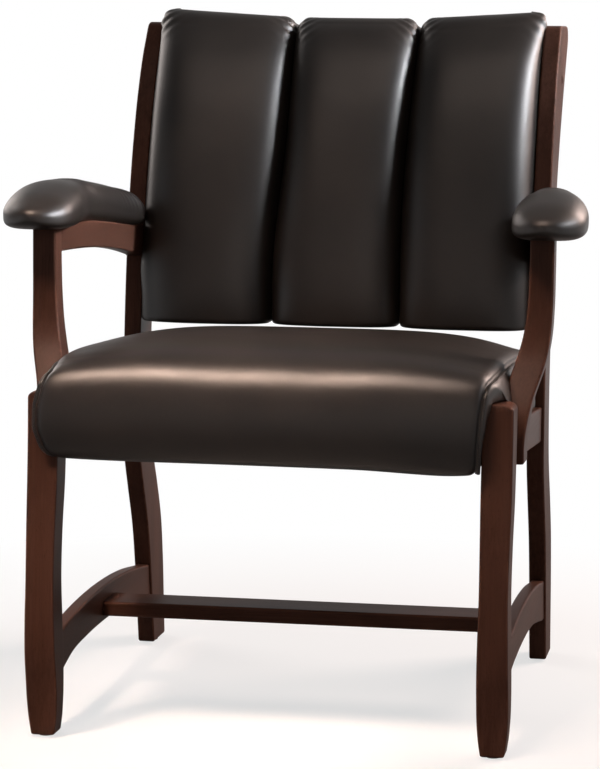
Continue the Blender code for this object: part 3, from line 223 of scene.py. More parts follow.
def flowing(points: Array, rounds: int = 4) -> Array:
    """Cut the corners of an open polyline again and again, until it is a smooth curve.

    Args:
        points: the polyline, one row a point.
        rounds: how often its corners are cut.

    Returns:
        The curve's points.
    """
    points = np.asarray(points, float)
    for _ in range(rounds):
        cut = np.empty((2 * len(points), points.shape[1]))
        cut[0], cut[-1] = points[0], points[-1]
        cut[1:-1:2] = points[:-1] * 0.75 + points[1:] * 0.25
        cut[2:-1:2] = points[:-1] * 0.25 + points[1:] * 0.75
        points = cut
    return points


def corner_arc(before: Array, corner: Array, after: Array, radius: float, steps: int = 10) -> Array:
    """Replace the corner of an outline with an arc that touches both of its sides.

    Args:
        before: the outline's point before the corner.
        corner: the corner.
        after: the point after it.
        radius: the arc's radius.
        steps: how many points it gets.

    Returns:
        The arc's points.
    """
    a, b = unit(before - corner), unit(after - corner)
    half = math.acos(float(np.dot(a, b))) / 2
    start, end = corner + a * radius / math.tan(half), corner + b * radius / math.tan(half)
    centre = corner + unit(a + b) * radius / math.sin(half)
    turn = math.pi - 2 * half
    t = np.linspace(0, 1, steps)[:, None]
    spun = np.sin((1 - t) * turn) * (start - centre) + np.sin(t * turn) * (end - centre)
    return centre + spun / math.sin(turn)


def inward_normals(outline: Array) -> Array:
    """Mitred normals of a closed outline, or of many, that point to its inside.

    Each edge is turned a quarter round. A corner's normal is the sum of its two edges'
    normals, lengthened so that both edges move by the same distance.

    Args:
        outline: the points in order, (..., points, 2).

    Returns:
        A normal for each point.
    """
    edge = unit(np.roll(outline, -1, axis=-2) - outline)
    side = np.stack([-edge[..., 1], edge[..., 0]], -1)
    before = np.roll(side, 1, axis=-2)
    mitre = (side + before) / np.maximum(1 + np.sum(side * before, -1, keepdims=True), 0.4)
    nxt = np.roll(outline, -1, axis=-2)
    area = np.sum(outline[..., 0] * nxt[..., 1] - outline[..., 1] * nxt[..., 0], -1)
    return mitre * np.sign(area)[..., None, None]


def linked(name: str, data: bpy.types.ID) -> Item:
    """Make an object of a mesh, camera or lamp, and link it to the scene."""
    item = bpy.data.objects.new(name, data)
    bpy.context.scene.collection.objects.link(item)
    return item


def surface_object(
    name: str, points: Array, faces: list, marks: dict[str, Array] | None = None
) -> Item:
    """Make a smooth-shaded object of points and faces, with its faces turned outwards.

    Args:
        name: the piece's name.
        points: its points, one row each.
        faces: its faces, as lists of point numbers.
        marks: values kept on the points, which the finish reads.

    Returns:
        The object, linked to the scene, at the origin.
    """
    mesh = bpy.data.meshes.new(name)
    mesh.from_pydata(points.reshape(-1, 3).tolist(), [], faces)
    mesh.validate()
    mesh.update()
    count = len(mesh.vertices)
    for mark, values in (marks or {}).items():
        layer = mesh.attributes.new(mark, "FLOAT", "POINT")
        layer.data.foreach_set("value", np.resize(values.astype(np.float32).ravel(), count))
    mesh.polygons.foreach_set("use_smooth", np.ones(len(mesh.polygons), bool))
    item = linked(name, mesh)
    if signed_volume(mesh) < 0:
        mesh.flip_normals()
    return item


def signed_volume(mesh: bpy.types.Mesh) -> float:
    """Volume of a closed mesh, below zero where its faces point inwards.

    Args:
        mesh: the mesh.

    Returns:
        The volume.
    """
    mesh.calc_loop_triangles()
    points = np.zeros(len(mesh.vertices) * 3)
    mesh.vertices.foreach_get("co", points)
    corners = np.zeros(len(mesh.loop_triangles) * 3, np.int32)
    mesh.loop_triangles.foreach_get("vertices", corners)
    a, b, c = points.reshape(-1, 3)[corners].reshape(-1, 3, 3).transpose(1, 0, 2)
    return float(np.sum(a * np.cross(b, c)) / 6)


def grid_faces(rows: int, columns: int, closed_rows: bool = False) -> Array:
    """Quads between neighbouring rows of a grid whose columns run all the way round.

    Args:
        rows: how many rows.
        columns: how many columns.
        closed_rows: whether the last row joins the first.

    Returns:
        The quads, as point numbers.
    """
    row = np.arange(rows if closed_rows else rows - 1)[:, None]
    column = np.arange(columns)[None, :]
    after, above = (column + 1) % columns, (row + 1) % rows
    return np.stack([row * columns + column, row * columns + after,
                     above * columns + after, above * columns + column], -1).reshape(-1, 4)


def skin(name: str, rows: Array, marks: dict[str, Array] | None = None) -> Item:
    """Skin a bar over closed rings, and close its ends with strips from point i to -1 - i.

    Args:
        name: the piece's name.
        rows: the rings, (rings, around, 3).
        marks: values kept on the points.

    Returns:
        The object.
    """
    count, around = rows.shape[:2]
    i = np.arange(around // 2 - 1)
    strip = np.stack([i, i + 1, around - 2 - i, around - 1 - i], -1)
    faces = np.concatenate([grid_faces(count, around), strip[:, ::-1], strip + (count - 1) * around])
    return surface_object(name, rows, faces.tolist(), marks)


def eased_loops(x0: Array, x1: Array, y0: Array, y1: Array, ease: Array | float) -> tuple[Array, Array]:
    """Rounded rectangles, one for each station of a bar.

    Each corner is a quarter circle of radius ease, and each flat side has a point just
    past either arc, so that the shading stays flat between them.

    Args:
        x0, x1, y0, y1: the sides at each station.
        ease: the corners' radius.

    Returns:
        The loops, (stations, points, 2), and a mark that is 1 on the arcs.
    """
    sizes = (x0, x1, y0, y1, ease)
    x0, x1, y0, y1, ease = (np.broadcast_to(size, np.shape(x0)).astype(float) for size in sizes)
    steps = np.linspace(0, math.pi / 2, CORNER_STEPS)
    parts, marks = [], []
    centres = ((x1 - ease, y1 - ease), (x0 + ease, y1 - ease), (x0 + ease, y0 + ease), (x1 - ease, y0 + ease))
    arcs = [
        np.stack([cx[:, None] + ease[:, None] * np.cos(steps + k * math.pi / 2),
                  cy[:, None] + ease[:, None] * np.sin(steps + k * math.pi / 2)], -1)
        for k, (cx, cy) in enumerate(centres)
    ]
    for k, arc in enumerate(arcs):
        start, end = arc[:, -1:], arcs[(k + 1) % 4][:, :1]
        length = np.linalg.norm(end - start, axis=-1, keepdims=True)
        near = np.minimum(SUPPORT_LINE / np.maximum(length, 1e-9), 0.2)
        t = np.concatenate([near, 0.5 + 0 * near, 1 - near], 1)
        parts += [arc, start + (end - start) * t]
        marks += [np.sin(2 * steps), np.zeros(3)]
    return np.concatenate(parts, 1), np.concatenate(marks)


def at_heights(loops: Array, z: Array) -> Array:
    """Rings of flat points, each at its own height or depth."""
    return np.concatenate([loops, np.broadcast_to(z[:, None, None], (*loops.shape[:2], 1))], -1)


def toe_inset(z: Array, bottom: float, toe: float) -> Array:
    """How far a quarter circle of radius toe draws a foot in, at heights above its bottom."""
    rounded = toe - np.sqrt(np.maximum(toe**2 - (bottom + toe - z) ** 2, 0))
    return np.where(z < bottom + toe, rounded, 0)


def sawn_rows(
    outline: Array, thickness: float, ease: float, fade: Array | None = None
) -> tuple[Array, Array]:
    """Rings of a board sawn to an outline, from one face to the other, with eased edges.

    A ring at depth w is the outline moved inwards by ease * (1 - sin a), where a runs from
    0 at the face to a quarter turn at the edge, and w follows ease * (1 - cos a).

    Args:
        outline: the closed outline, one row a point.
        thickness: the board's thickness.
        ease: the radius of its edges.
        fade: 1 where an edge is eased and 0 where it butts against a neighbour.

    Returns:
        The rings as (u, v, w) and a mark that is 1 along the eased edges.
    """
    normals = inward_normals(outline)
    fade = np.ones(len(outline)) if fade is None else fade
    angle = np.linspace(0, math.pi / 2, CORNER_STEPS)
    inset = np.concatenate([[ease + SUPPORT_LINE], ease * (1 - np.sin(angle)), [0.0]])
    depth = np.concatenate([[0.0], ease * (1 - np.cos(angle)), [ease + SUPPORT_LINE]])
    worn = np.concatenate([[0.0], np.sin(2 * angle), [0.0]])
    inset = np.concatenate([inset, inset[::-1]])
    depth = np.concatenate([depth - thickness / 2, thickness / 2 - depth[::-1]])
    worn = np.concatenate([worn, worn[::-1]])
    flat = outline[None] + normals[None] * inset[:, None, None] * fade[None, :, None]
    return at_heights(flat, depth), worn[:, None] * fade[None, :]


def in_side_plane(rows: Array, across: float) -> Array:
    """Place rings of (Y, Z, thickness) with the middle of the thickness at an X."""
    return np.stack([rows[..., 2] + across, rows[..., 0], rows[..., 1]], -1)


def turned_rows(profile: Array, sides: int = 40) -> Array:
    """Turn a profile of (radius, height) about its axis, as rings that rise with it.

    Args:
        profile: rows of radius and height.
        sides: how many points go round.

    Returns:
        The rings.
    """
    angle = np.arange(sides) * 2 * math.pi / sides
    radius, height = profile[:, :1], profile[:, 1:]
    return np.stack([radius * np.cos(angle), radius * np.sin(angle), height + 0 * angle], -1)


def tube_rows(path: Array, radius: Array | float, up: Array, sides: int = 10, squash: float = 1.0) -> Array:
    """Carry a round or flattened section along a path.

    The section's first axis is up, made square to the path, and the second is across both.
    Point k of the section is radius * (up cos k * squash + across sin k).

    Args:
        path: the middle line.
        radius: the section's radius.
        up: the section's first axis.
        sides: how many points go round.
        squash: how flat the section is along up.

    Returns:
        The rings.
    """
    along = unit(np.gradient(path, axis=0))
    up = unit(up - along * np.sum(up * along, -1, keepdims=True))
    across = np.cross(along, up)
    angle = np.arange(sides) * 2 * math.pi / sides
    radius = np.broadcast_to(radius, len(path))[:, None, None]
    thick, wide = (np.cos(angle) * squash)[None, :, None], np.sin(angle)[None, :, None]
    return path[:, None] + radius * (up[:, None] * thick + across[:, None] * wide)


def soft_noise(places: Array, seed: int, waves: int = 6) -> Array:
    """Gentle noise: a sum of sines of the place, in random directions, between -1 and 1.

    Args:
        places: where it is read, (..., 3).
        seed: the noise's seed.
        waves: how many sines it has.

    Returns:
        The noise at each place.
    """
    rng = np.random.default_rng(seed)
    total = np.zeros(places.shape[:-1])
    for _ in range(waves):
        way = unit(rng.normal(size=places.shape[-1])) * rng.uniform(0.6, 1.6)
        total += np.sin(places @ way + rng.uniform(0, 2 * math.pi))
    return total / waves


# Finishes


def shade(colour: Triple, factor: float) -> Triple:
    """A colour times a factor."""
    return tuple(factor * channel for channel in colour)


class Tree:
    """A node tree, with short ways to add and join its nodes."""

    def __init__(self, tree: bpy.types.NodeTree) -> None:
        """Work on an existing tree."""
        self.tree = tree

    def add(self, kind: str, settings: dict[str, object] | None = None, **values: object) -> Node:
        """Add a node.

        Args:
            kind: the node's type, without its ShaderNode prefix.
            settings: properties of the node itself.
            values: its input sockets by name, with _ for a space; a node or socket is joined.

        Returns:
            The node.
        """
        node = self.tree.nodes.new("ShaderNode" + kind)
        for key, value in (settings or {}).items():
            setattr(node, key, value)
        for key, value in values.items():
            self.feed(node.inputs[key.replace("_", " ")], value)
        return node

    def feed(self, socket: Socket, value: object) -> None:
        """Set a socket to a constant, or join it to a node's first output or a socket."""
        if isinstance(value, Node):
            self.tree.links.new(value.outputs[0], socket)
        elif isinstance(value, Socket):
            self.tree.links.new(value, socket)
        else:
            socket.default_value = value

    def places(self, stretch: Triple = (1, 1, 1), shift: Triple = (0, 0, 0)) -> Node:
        """Object coordinates, stretched and shifted."""
        own = self.add("TexCoord").outputs["Object"]
        return self.add("Mapping", Vector=own, Scale=stretch, Location=shift)

    def fed(self, node: Node, *values: object) -> Node:
        """Set or join a node's first sockets in their order."""
        for socket, value in zip(node.inputs, values):
            self.feed(socket, value)
        return node

    def maths(self, operation: str, *values: object) -> Node:
        """A Math node over one to three values."""
        return self.fed(self.add("Math", {"operation": operation}), *values)

    def ramp(self, source: object, *stops: tuple[float, Triple]) -> Node:
        """A colour ramp with the given places and colours.

        Args:
            source: what is read on the ramp.
            stops: places from 0 to 1 and their colours.

        Returns:
            The node.
        """
        node = self.add("ValToRGB", Fac=source)
        elements = node.color_ramp.elements
        while len(elements) < len(stops):
            elements.new(0.5)
        for element, (place, colour) in zip(elements, stops):
            element.position = place
            element.color = (*colour, 1)
        return node

    def greys(self, source: object, *stops: tuple[float, float]) -> Node:
        """A ramp of greys with the given places and shades."""
        return self.ramp(source, *((place, (shade,) * 3) for place, shade in stops))

    def scaled(self, source: object, factor: float, start: float = 0.0) -> Node:
        """A value times a factor, added to a start."""
        return self.maths("MULTIPLY_ADD", source, factor, start)

    def mix(self, share: object, first: object, second: object, blend: str = "MIX") -> Node:
        """Mix two colours."""
        sides = ((*side, 1) if isinstance(side, tuple) else side for side in (first, second))
        return self.fed(self.add("MixRGB", {"blend_type": blend}), share, *sides)

    def bump(
        self, height: object, distance: float, strength: float = 1.0, normal: object = None
    ) -> Node:
        """A bump of a height pattern, over another bump where there is one."""
        under = {} if normal is None else {"Normal": normal}
        return self.add("Bump", Height=height, Distance=distance, Strength=strength, **under)


class Nodes(Tree):
    """The tree of a new material, with its shader."""

    def __init__(self, name: str) -> None:
        """Start a material that has only its shader and output.

        Args:
            name: the material's name.
        """
        self.material = bpy.data.materials.new(name)
        self.material.use_nodes = True
        super().__init__(self.material.node_tree)
        self.shader = self.tree.nodes["Principled BSDF"]

    def paint(self, **values: object) -> None:
        """Set or join the shader's own sockets."""
        for key, value in values.items():
            self.feed(self.shader.inputs[key.replace("_", " ")], value)


@dataclass(frozen=True)
class CherryFinish:
    """Satin lacquer over dark stained cherry, with fibres along one direction."""

    grain: Grain
    deep: Triple = (0.0340, 0.0145, 0.0098)
    warm: Triple = (0.0770, 0.0345, 0.0235)
    worn: Triple = (0.1700, 0.0760, 0.0520)
    pore_shade: Triple = (0.55, 0.52, 0.50)
    figure: Triple = (26.04, 3.2, 0.60)
    streaks: Triple = (310.0, 7.04, 0.40)
    pores: tuple[float, float] = (1612.0, 44.8)
    blotches: float = 5.5
    roughness: float = 0.30
    rougher: float = 0.12
    shine: float = 0.05
    fibre_depth: float = 0.00035
    pore_depth: float = 0.00018

    def stretch(self, across: float, along: float) -> Triple:
        """Scales for the pattern: fine across the fibres and long along them."""
        axes = (Grain.CROSSWISE, Grain.FORE_AFT, Grain.UPRIGHT)
        return tuple(along if grain is self.grain else across for grain in axes)

    def make(self) -> Material:
        """Streaks of long noise under fine pores, paler along the worn edges.

        The figure's and the streaks' three values are their scales across and along the
        fibres, and their share of the tone.

        Returns:
            The material.
        """
        nodes = Nodes("cherry_" + self.grain.value)
        figure = nodes.add("TexNoise", Vector=nodes.places(self.stretch(*self.figure[:2])),
                           Scale=1.0, Detail=4.0, Roughness=0.55, Distortion=0.6)
        streaks = nodes.add("TexNoise", Vector=nodes.places(self.stretch(*self.streaks[:2]), (3, 7, 5)),
                            Scale=1.0, Detail=3.0, Roughness=0.6)
        pores = nodes.add("TexNoise", Vector=nodes.places(self.stretch(*self.pores), (9, 2, 4)),
                          Scale=1.0, Detail=2.0, Roughness=0.5)
        blotch = nodes.add("TexNoise", Vector=nodes.places((self.blotches,) * 3), Scale=1.0, Detail=2.0)
        tone = nodes.maths("MULTIPLY_ADD", figure, self.figure[2], nodes.scaled(streaks, self.streaks[2]))
        base = nodes.ramp(tone, (0.34, self.deep), (0.66, self.warm))
        cloudy = nodes.mix(nodes.greys(blotch, (0.35, 0.0), (0.7, 0.5)), base, self.warm)
        dark_pores = nodes.ramp(pores, (0.60, (1, 1, 1)), (0.74, self.pore_shade))
        pored = nodes.mix(1.0, cloudy, dark_pores, "MULTIPLY")
        edge = nodes.add("Attribute", {"attribute_name": "worn"})
        rubbed = nodes.maths("MULTIPLY", edge.outputs["Fac"], nodes.greys(streaks, (0.4, 0.1), (0.7, 0.6)))
        nodes.paint(Base_Color=nodes.mix(rubbed, pored, self.worn),
                    Roughness=nodes.scaled(streaks, self.rougher, self.roughness),
                    Specular_IOR_Level=self.shine)
        fibres = nodes.bump(streaks, self.fibre_depth, 0.35)
        nodes.paint(Normal=nodes.bump(pores, self.pore_depth, 0.5, fibres))
        return nodes.material


@dataclass(frozen=True)
class LeatherFinish:
    """Near-black, semi-gloss upholstery leather with a fine pebbled grain."""

    base: Triple = (0.0090, 0.0062, 0.0048)
    faded: Triple = (0.0155, 0.0108, 0.0082)
    # Painted shade: the darker colour that the seams and the channels' valleys take.
    seam_shade: Triple = (0.0050, 0.0042, 0.0038)
    pebbles: float = 780.0
    creases: float = 150.0
    mottle: float = 14.0
    waves: float = 7.0
    bend: float = 0.0035
    roughness: float = 0.36
    rougher: float = 0.10
    duller_seam: float = 0.14
    shine: float = 0.50
    wave_depth: float = 0.0022
    crease_depth: float = 0.00015
    pebble_depth: float = 0.00008

    def make(self) -> Material:
        """Pebbles of distance-to-edge cells under fine creases, duller in the seams, where painted shade also
        darkens the colour.

        Returns:
            The material.
        """
        nodes = Nodes("black_leather")
        places = nodes.places()
        warp = nodes.add("TexNoise", Vector=places, Scale=90.0, Detail=2.0)
        bent = nodes.add("VectorMath", {"operation": "MULTIPLY_ADD"})
        nodes.fed(bent, warp.outputs["Color"], (self.bend,) * 3, places)
        cells, wide_cells = (
            nodes.add("TexVoronoi", {"feature": "DISTANCE_TO_EDGE"}, Vector=bent, Scale=scale)
            for scale in (self.pebbles, self.creases)
        )
        domes = nodes.greys(cells, (0.0, 0.0), (0.22, 1.0))
        lines = nodes.greys(wide_cells, (0.0, 0.0), (0.05, 1.0))
        mottle = nodes.add("TexNoise", Vector=places, Scale=self.mottle, Detail=5.0, Roughness=0.6)
        broad = nodes.add("TexNoise", Vector=places, Scale=self.waves, Detail=1.5)
        seam = nodes.add("Attribute", {"attribute_name": "seam"}).outputs["Fac"]
        tone = nodes.mix(nodes.greys(mottle, (0.35, 0.0), (0.7, 1.0)), self.base, self.faded)
        grained = nodes.mix(0.35, tone, nodes.mix(1.0, tone, domes, "MULTIPLY"))
        dull = nodes.scaled(mottle, self.rougher, self.roughness)
        # Painted shade: the seam mark darkens the colour in the sunk seams and on the channels' valleys.
        nodes.paint(Base_Color=nodes.mix(nodes.scaled(seam, 0.55), grained, self.seam_shade),
                    Roughness=nodes.maths("MULTIPLY_ADD", seam, self.duller_seam, dull),
                    Specular_IOR_Level=self.shine)
        wavy = nodes.bump(broad, self.wave_depth, 0.22)
        creased = nodes.bump(lines, self.crease_depth, 0.20, wavy)
        nodes.paint(Normal=nodes.bump(domes, self.pebble_depth, 0.20, creased))
        return nodes.material


@dataclass(frozen=True)
class ThreadFinish:
    """Bonded dark thread, twisted, a little shinier than the leather."""

    colour: Triple = (0.020, 0.016, 0.014)

    def make(self) -> Material:
        """A diagonal wave stands for the twist.

        Returns:
            The material.
        """
        nodes = Nodes("seam_thread")
        twist = nodes.add("TexWave", {"bands_direction": "DIAGONAL"}, Vector=nodes.places(), Scale=900.0)
        nodes.paint(Base_Color=nodes.mix(twist, self.colour, shade(self.colour, 0.6)),
                    Roughness=0.45, Normal=nodes.bump(twist, 0.0001, 0.5))
        return nodes.material


@dataclass(frozen=True)
class PlywoodFinish:
    """Raw plywood: pale veneers with darker glue lines at its edges."""

    pale: Triple = (0.46, 0.32, 0.19)
    brown: Triple = (0.27, 0.16, 0.085)
    ply: float = 70.0

    def make(self) -> Material:
        """Veneers are bands of height, and the faces carry a long figure.

        Returns:
            The material.
        """
        nodes = Nodes("raw_plywood")
        bands = nodes.add("TexWave", {"bands_direction": "Z"}, Vector=nodes.places(), Scale=self.ply,
                          Distortion=0.6)
        figure = nodes.add("TexNoise", Vector=nodes.places((60, 5, 60)), Scale=1.0, Detail=5.0, Roughness=0.6)
        face = nodes.ramp(figure, (0.35, self.brown), (0.65, self.pale))
        nodes.paint(Base_Color=nodes.mix(nodes.scaled(bands, 0.35), face, self.brown),
                    Roughness=0.72, Normal=nodes.bump(figure, 0.0004, 0.4))
        return nodes.material


@dataclass(frozen=True)
class CambricFinish:
    """Black non-woven cambric under the seat."""

    colour: Triple = (0.013, 0.013, 0.014)

    def make(self) -> Material:
        """Two crossed waves stand for the weave.

        Returns:
            The material.
        """
        nodes = Nodes("black_cambric")
        places = nodes.places()
        threads = (
            nodes.add("TexWave", {"bands_direction": way}, Vector=places, Scale=260.0, Distortion=1.0)
            for way in ("X", "Y")
        )
        weave = nodes.maths("MULTIPLY", *threads)
        nodes.paint(Base_Color=nodes.mix(weave, shade(self.colour, 0.5), shade(self.colour, 1.8)),
                    Roughness=0.92, Normal=nodes.bump(weave, 0.0003, 0.6), Sheen_Weight=0.1)
        return nodes.material


@dataclass(frozen=True)
class ZincFinish:
    """Bright zinc plate on screws and bolts."""

    colour: Triple = (0.56, 0.57, 0.58)

    def make(self) -> Material:
        """Fine mottled roughness.

        Returns:
            The material.
        """
        nodes = Nodes("zinc_plate")
        spots = nodes.add("TexNoise", Vector=nodes.places(), Scale=420.0, Detail=3.0)
        nodes.paint(Base_Color=nodes.mix(spots, self.colour, shade(self.colour, 0.8)), Metallic=1.0,
                    Roughness=nodes.scaled(spots, 0.2, 0.24),
                    Normal=nodes.bump(spots, 0.0001, 0.2))
        return nodes.material


@dataclass(frozen=True)
class NylonFinish:
    """Brown moulded nylon of the glides."""

    colour: Triple = (0.085, 0.062, 0.050)

    def make(self) -> Material:
        """Matt, scuffed by the floor.

        Returns:
            The material.
        """
        nodes = Nodes("glide_nylon")
        scuffs = nodes.add("TexNoise", Vector=nodes.places(), Scale=600.0, Detail=4.0)
        nodes.paint(Base_Color=nodes.mix(scuffs, self.colour, shade(self.colour, 1.5)),
                    Roughness=nodes.scaled(scuffs, 0.2, 0.42),
                    Normal=nodes.bump(scuffs, 0.0001, 0.3))
        return nodes.material


class Finishes:
    """All the finishes, made once and handed out by name."""

    def __init__(self) -> None:
        """Make every material."""
        self.cherry = {grain: CherryFinish(grain).make() for grain in Grain}
        self.leather = LeatherFinish().make()
        self.thread = ThreadFinish().make()
        self.plywood = PlywoodFinish().make()
        self.cambric = CambricFinish().make()
        self.zinc = ZincFinish().make()
        self.nylon = NylonFinish().make()


@dataclass(frozen=True)
class Piece:
    """A finished piece: its object, and what it stands for."""

    item: Item
    finish: Material
    slot: str
    replaces: tuple[str, ...] = ()

    def settle(self) -> None:
        """Give the piece its finish, its body and the nodes that it stands for."""
        self.item.data.materials.clear()
        self.item.data.materials.append(self.finish)
        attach(self.item, "root")
        if self.replaces:
            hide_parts(*self.replaces)
        log.info("%s: %d faces", self.item.name, len(self.item.data.polygons))


def board(name: str, rows: Array, worn: Array, finish: Material) -> Piece:
    """Skin a wooden piece, with its worn edges marked, in the place of its CAD node.

    Args:
        name: the CAD node's name.
        rows: the piece's closed rings.
        worn: 1 where an edge is rubbed.
        finish: the cherry whose fibres run the right way.

    Returns:
        The finished piece.
    """
    item = skin(name + "_cherry", rows, {"worn": np.broadcast_to(worn, rows.shape[:2])})
    return Piece(item, finish, "cherry_wood", (name,))


# Wooden frame


@dataclass
class RearPosts:
    """The two sabre-shaped boards that are rear leg and back post in one."""

    half: float = 0.2966
    thickness: float = 0.024
    top: float = 0.8975
    front_place: float = 0.5025
    splay: float = 0.1025
    rake: float = 0.162
    depth: float = 0.074
    foot: float = 0.0033
    front_round: float = 0.024
    rear_round: float = 0.018
    ease: float = 0.0028
    toe: float = 0.0025
    last_straight: float = 0.0426

    @property
    def centre(self) -> float:
        """X of the middle of the board."""
        return self.half - self.thickness / 2

    @property
    def inner(self) -> float:
        """X of the board's inner face."""
        return self.half - self.thickness

    def front(self, z: Array | float) -> Array:
        """Y of the front edge at a height."""
        share = np.asarray(z) / self.top
        bent = self.splay * curve_value(POST_SHAPE, 1, share) + self.rake * curve_value(POST_SHAPE, 2, share)
        return ORIGIN_Y + self.front_place + bent + np.maximum(share - 1, 0) * self.top / 2

    def rear(self, z: Array | float) -> Array:
        """Y of the rear edge at a height."""
        return self.front(z) + self.depth * curve_value(POST_SHAPE, 3, np.asarray(z) / self.top)

    def outline(self) -> Array:
        """Side outline: front edge up, rounded top, rear edge down.

        Returns:
            Points as (Y, Z).
        """
        heights = np.linspace(self.foot, self.top - self.last_straight, 60)
        front = np.stack([self.front(heights), heights], 1)
        rear = np.stack([self.rear(heights), heights], 1)
        top_front = np.array([self.front(self.top), self.top])
        top_rear = np.array([self.rear(self.top), self.top])
        front[0, 0] += self.toe
        rear[0, 0] -= self.toe
        ankle = self.foot + self.toe
        front = np.insert(front, 1, [self.front(ankle), ankle], 0)
        rear = np.insert(rear, 1, [self.rear(ankle), ankle], 0)
        return np.concatenate([
            front,
            corner_arc(front[-1], top_front, top_rear, self.front_round),
            corner_arc(top_front, top_rear, rear[-1], self.rear_round),
            rear[::-1],
        ])

    def build(self, finishes: Finishes) -> list[Piece]:
        """Saw both posts."""
        rows, worn = sawn_rows(self.outline(), self.thickness, self.ease)
        return [
            board(f"rear_post_{side.word}", in_side_plane(rows, side.value * self.centre), worn,
                  finishes.cherry[Grain.UPRIGHT])
            for side in Side
        ]


@dataclass
class FrontLegs:
    """The gently bowed front legs, with slim feet and domed tops."""

    half: float = 0.3030
    width: float = 0.0385
    depth: float = 0.046
    front_place: float = -0.0112
    top: float = 0.4390
    bow: float = 0.0178
    dome: float = 0.0085
    dome_inset: float = 0.0136
    dome_softness: float = 0.004
    taper: float = 0.0045
    foot: float = 0.0033
    toe: float = 0.0022
    ease: float = 0.0028

    @property
    def inner(self) -> float:
        """X of the leg's inner face."""
        return self.half - self.width

    def front(self, z: Array | float) -> Array:
        """Y of the front face at a height."""
        return ORIGIN_Y + self.front_place + self.bow * curve_value(LEG_SHAPE, 1, np.asarray(z) / self.top)

    def rear(self, z: Array | float) -> Array:
        """Y of the rear face at a height."""
        return self.front(z) + self.depth * curve_value(LEG_SHAPE, 2, np.asarray(z) / self.top)

    def rows(self, side: Side) -> tuple[Array, Array]:
        """Level rings from the foot to the dome.

        The foot's rim and the dome are quarter ellipses: at an angle a the ring lies
        rise * (1 - sin a) from the end and is drawn in by reach * (1 - cos a).

        Args:
            side: the leg's side.

        Returns:
            The rings, and a mark that is 1 on worn edges.
        """
        shoulder = self.top - self.dome
        angle = np.linspace(0, math.pi / 2, 9)
        z = np.sort(np.concatenate([
            self.foot + self.toe * (1 - np.sin(angle[::2])),
            np.linspace(self.foot + 2 * self.toe, shoulder - 0.001, 54),
            shoulder + self.dome * np.sin(angle),
        ]))
        foot_in = toe_inset(z, self.foot, self.toe)
        up = np.clip((z - shoulder) / self.dome, 0, 1)
        closing = 1 - np.sqrt(1 - up**2 * 0.999)
        dome_in, dome_soft = self.dome_inset * closing, self.dome_softness * closing
        share = (z - self.foot) / (shoulder - self.foot)
        taper = self.taper * curve_value(LEG_SHAPE, 3, share)
        loops, worn = eased_loops(
            self.inner + taper + foot_in + dome_in, self.half - taper - foot_in - dome_in,
            self.front(z) + foot_in + dome_soft, self.rear(z) - foot_in - dome_soft, self.ease)
        rim = np.maximum(foot_in / self.toe, np.clip(up, 0, 0.8))[:, None]
        return at_heights(loops, z) * side.flip, np.maximum(worn[None], rim)

    def build(self, finishes: Finishes) -> list[Piece]:
        """Shape both legs."""
        return [
            board(f"front_leg_{side.word}", *self.rows(side), finishes.cherry[Grain.UPRIGHT])
            for side in Side
        ]


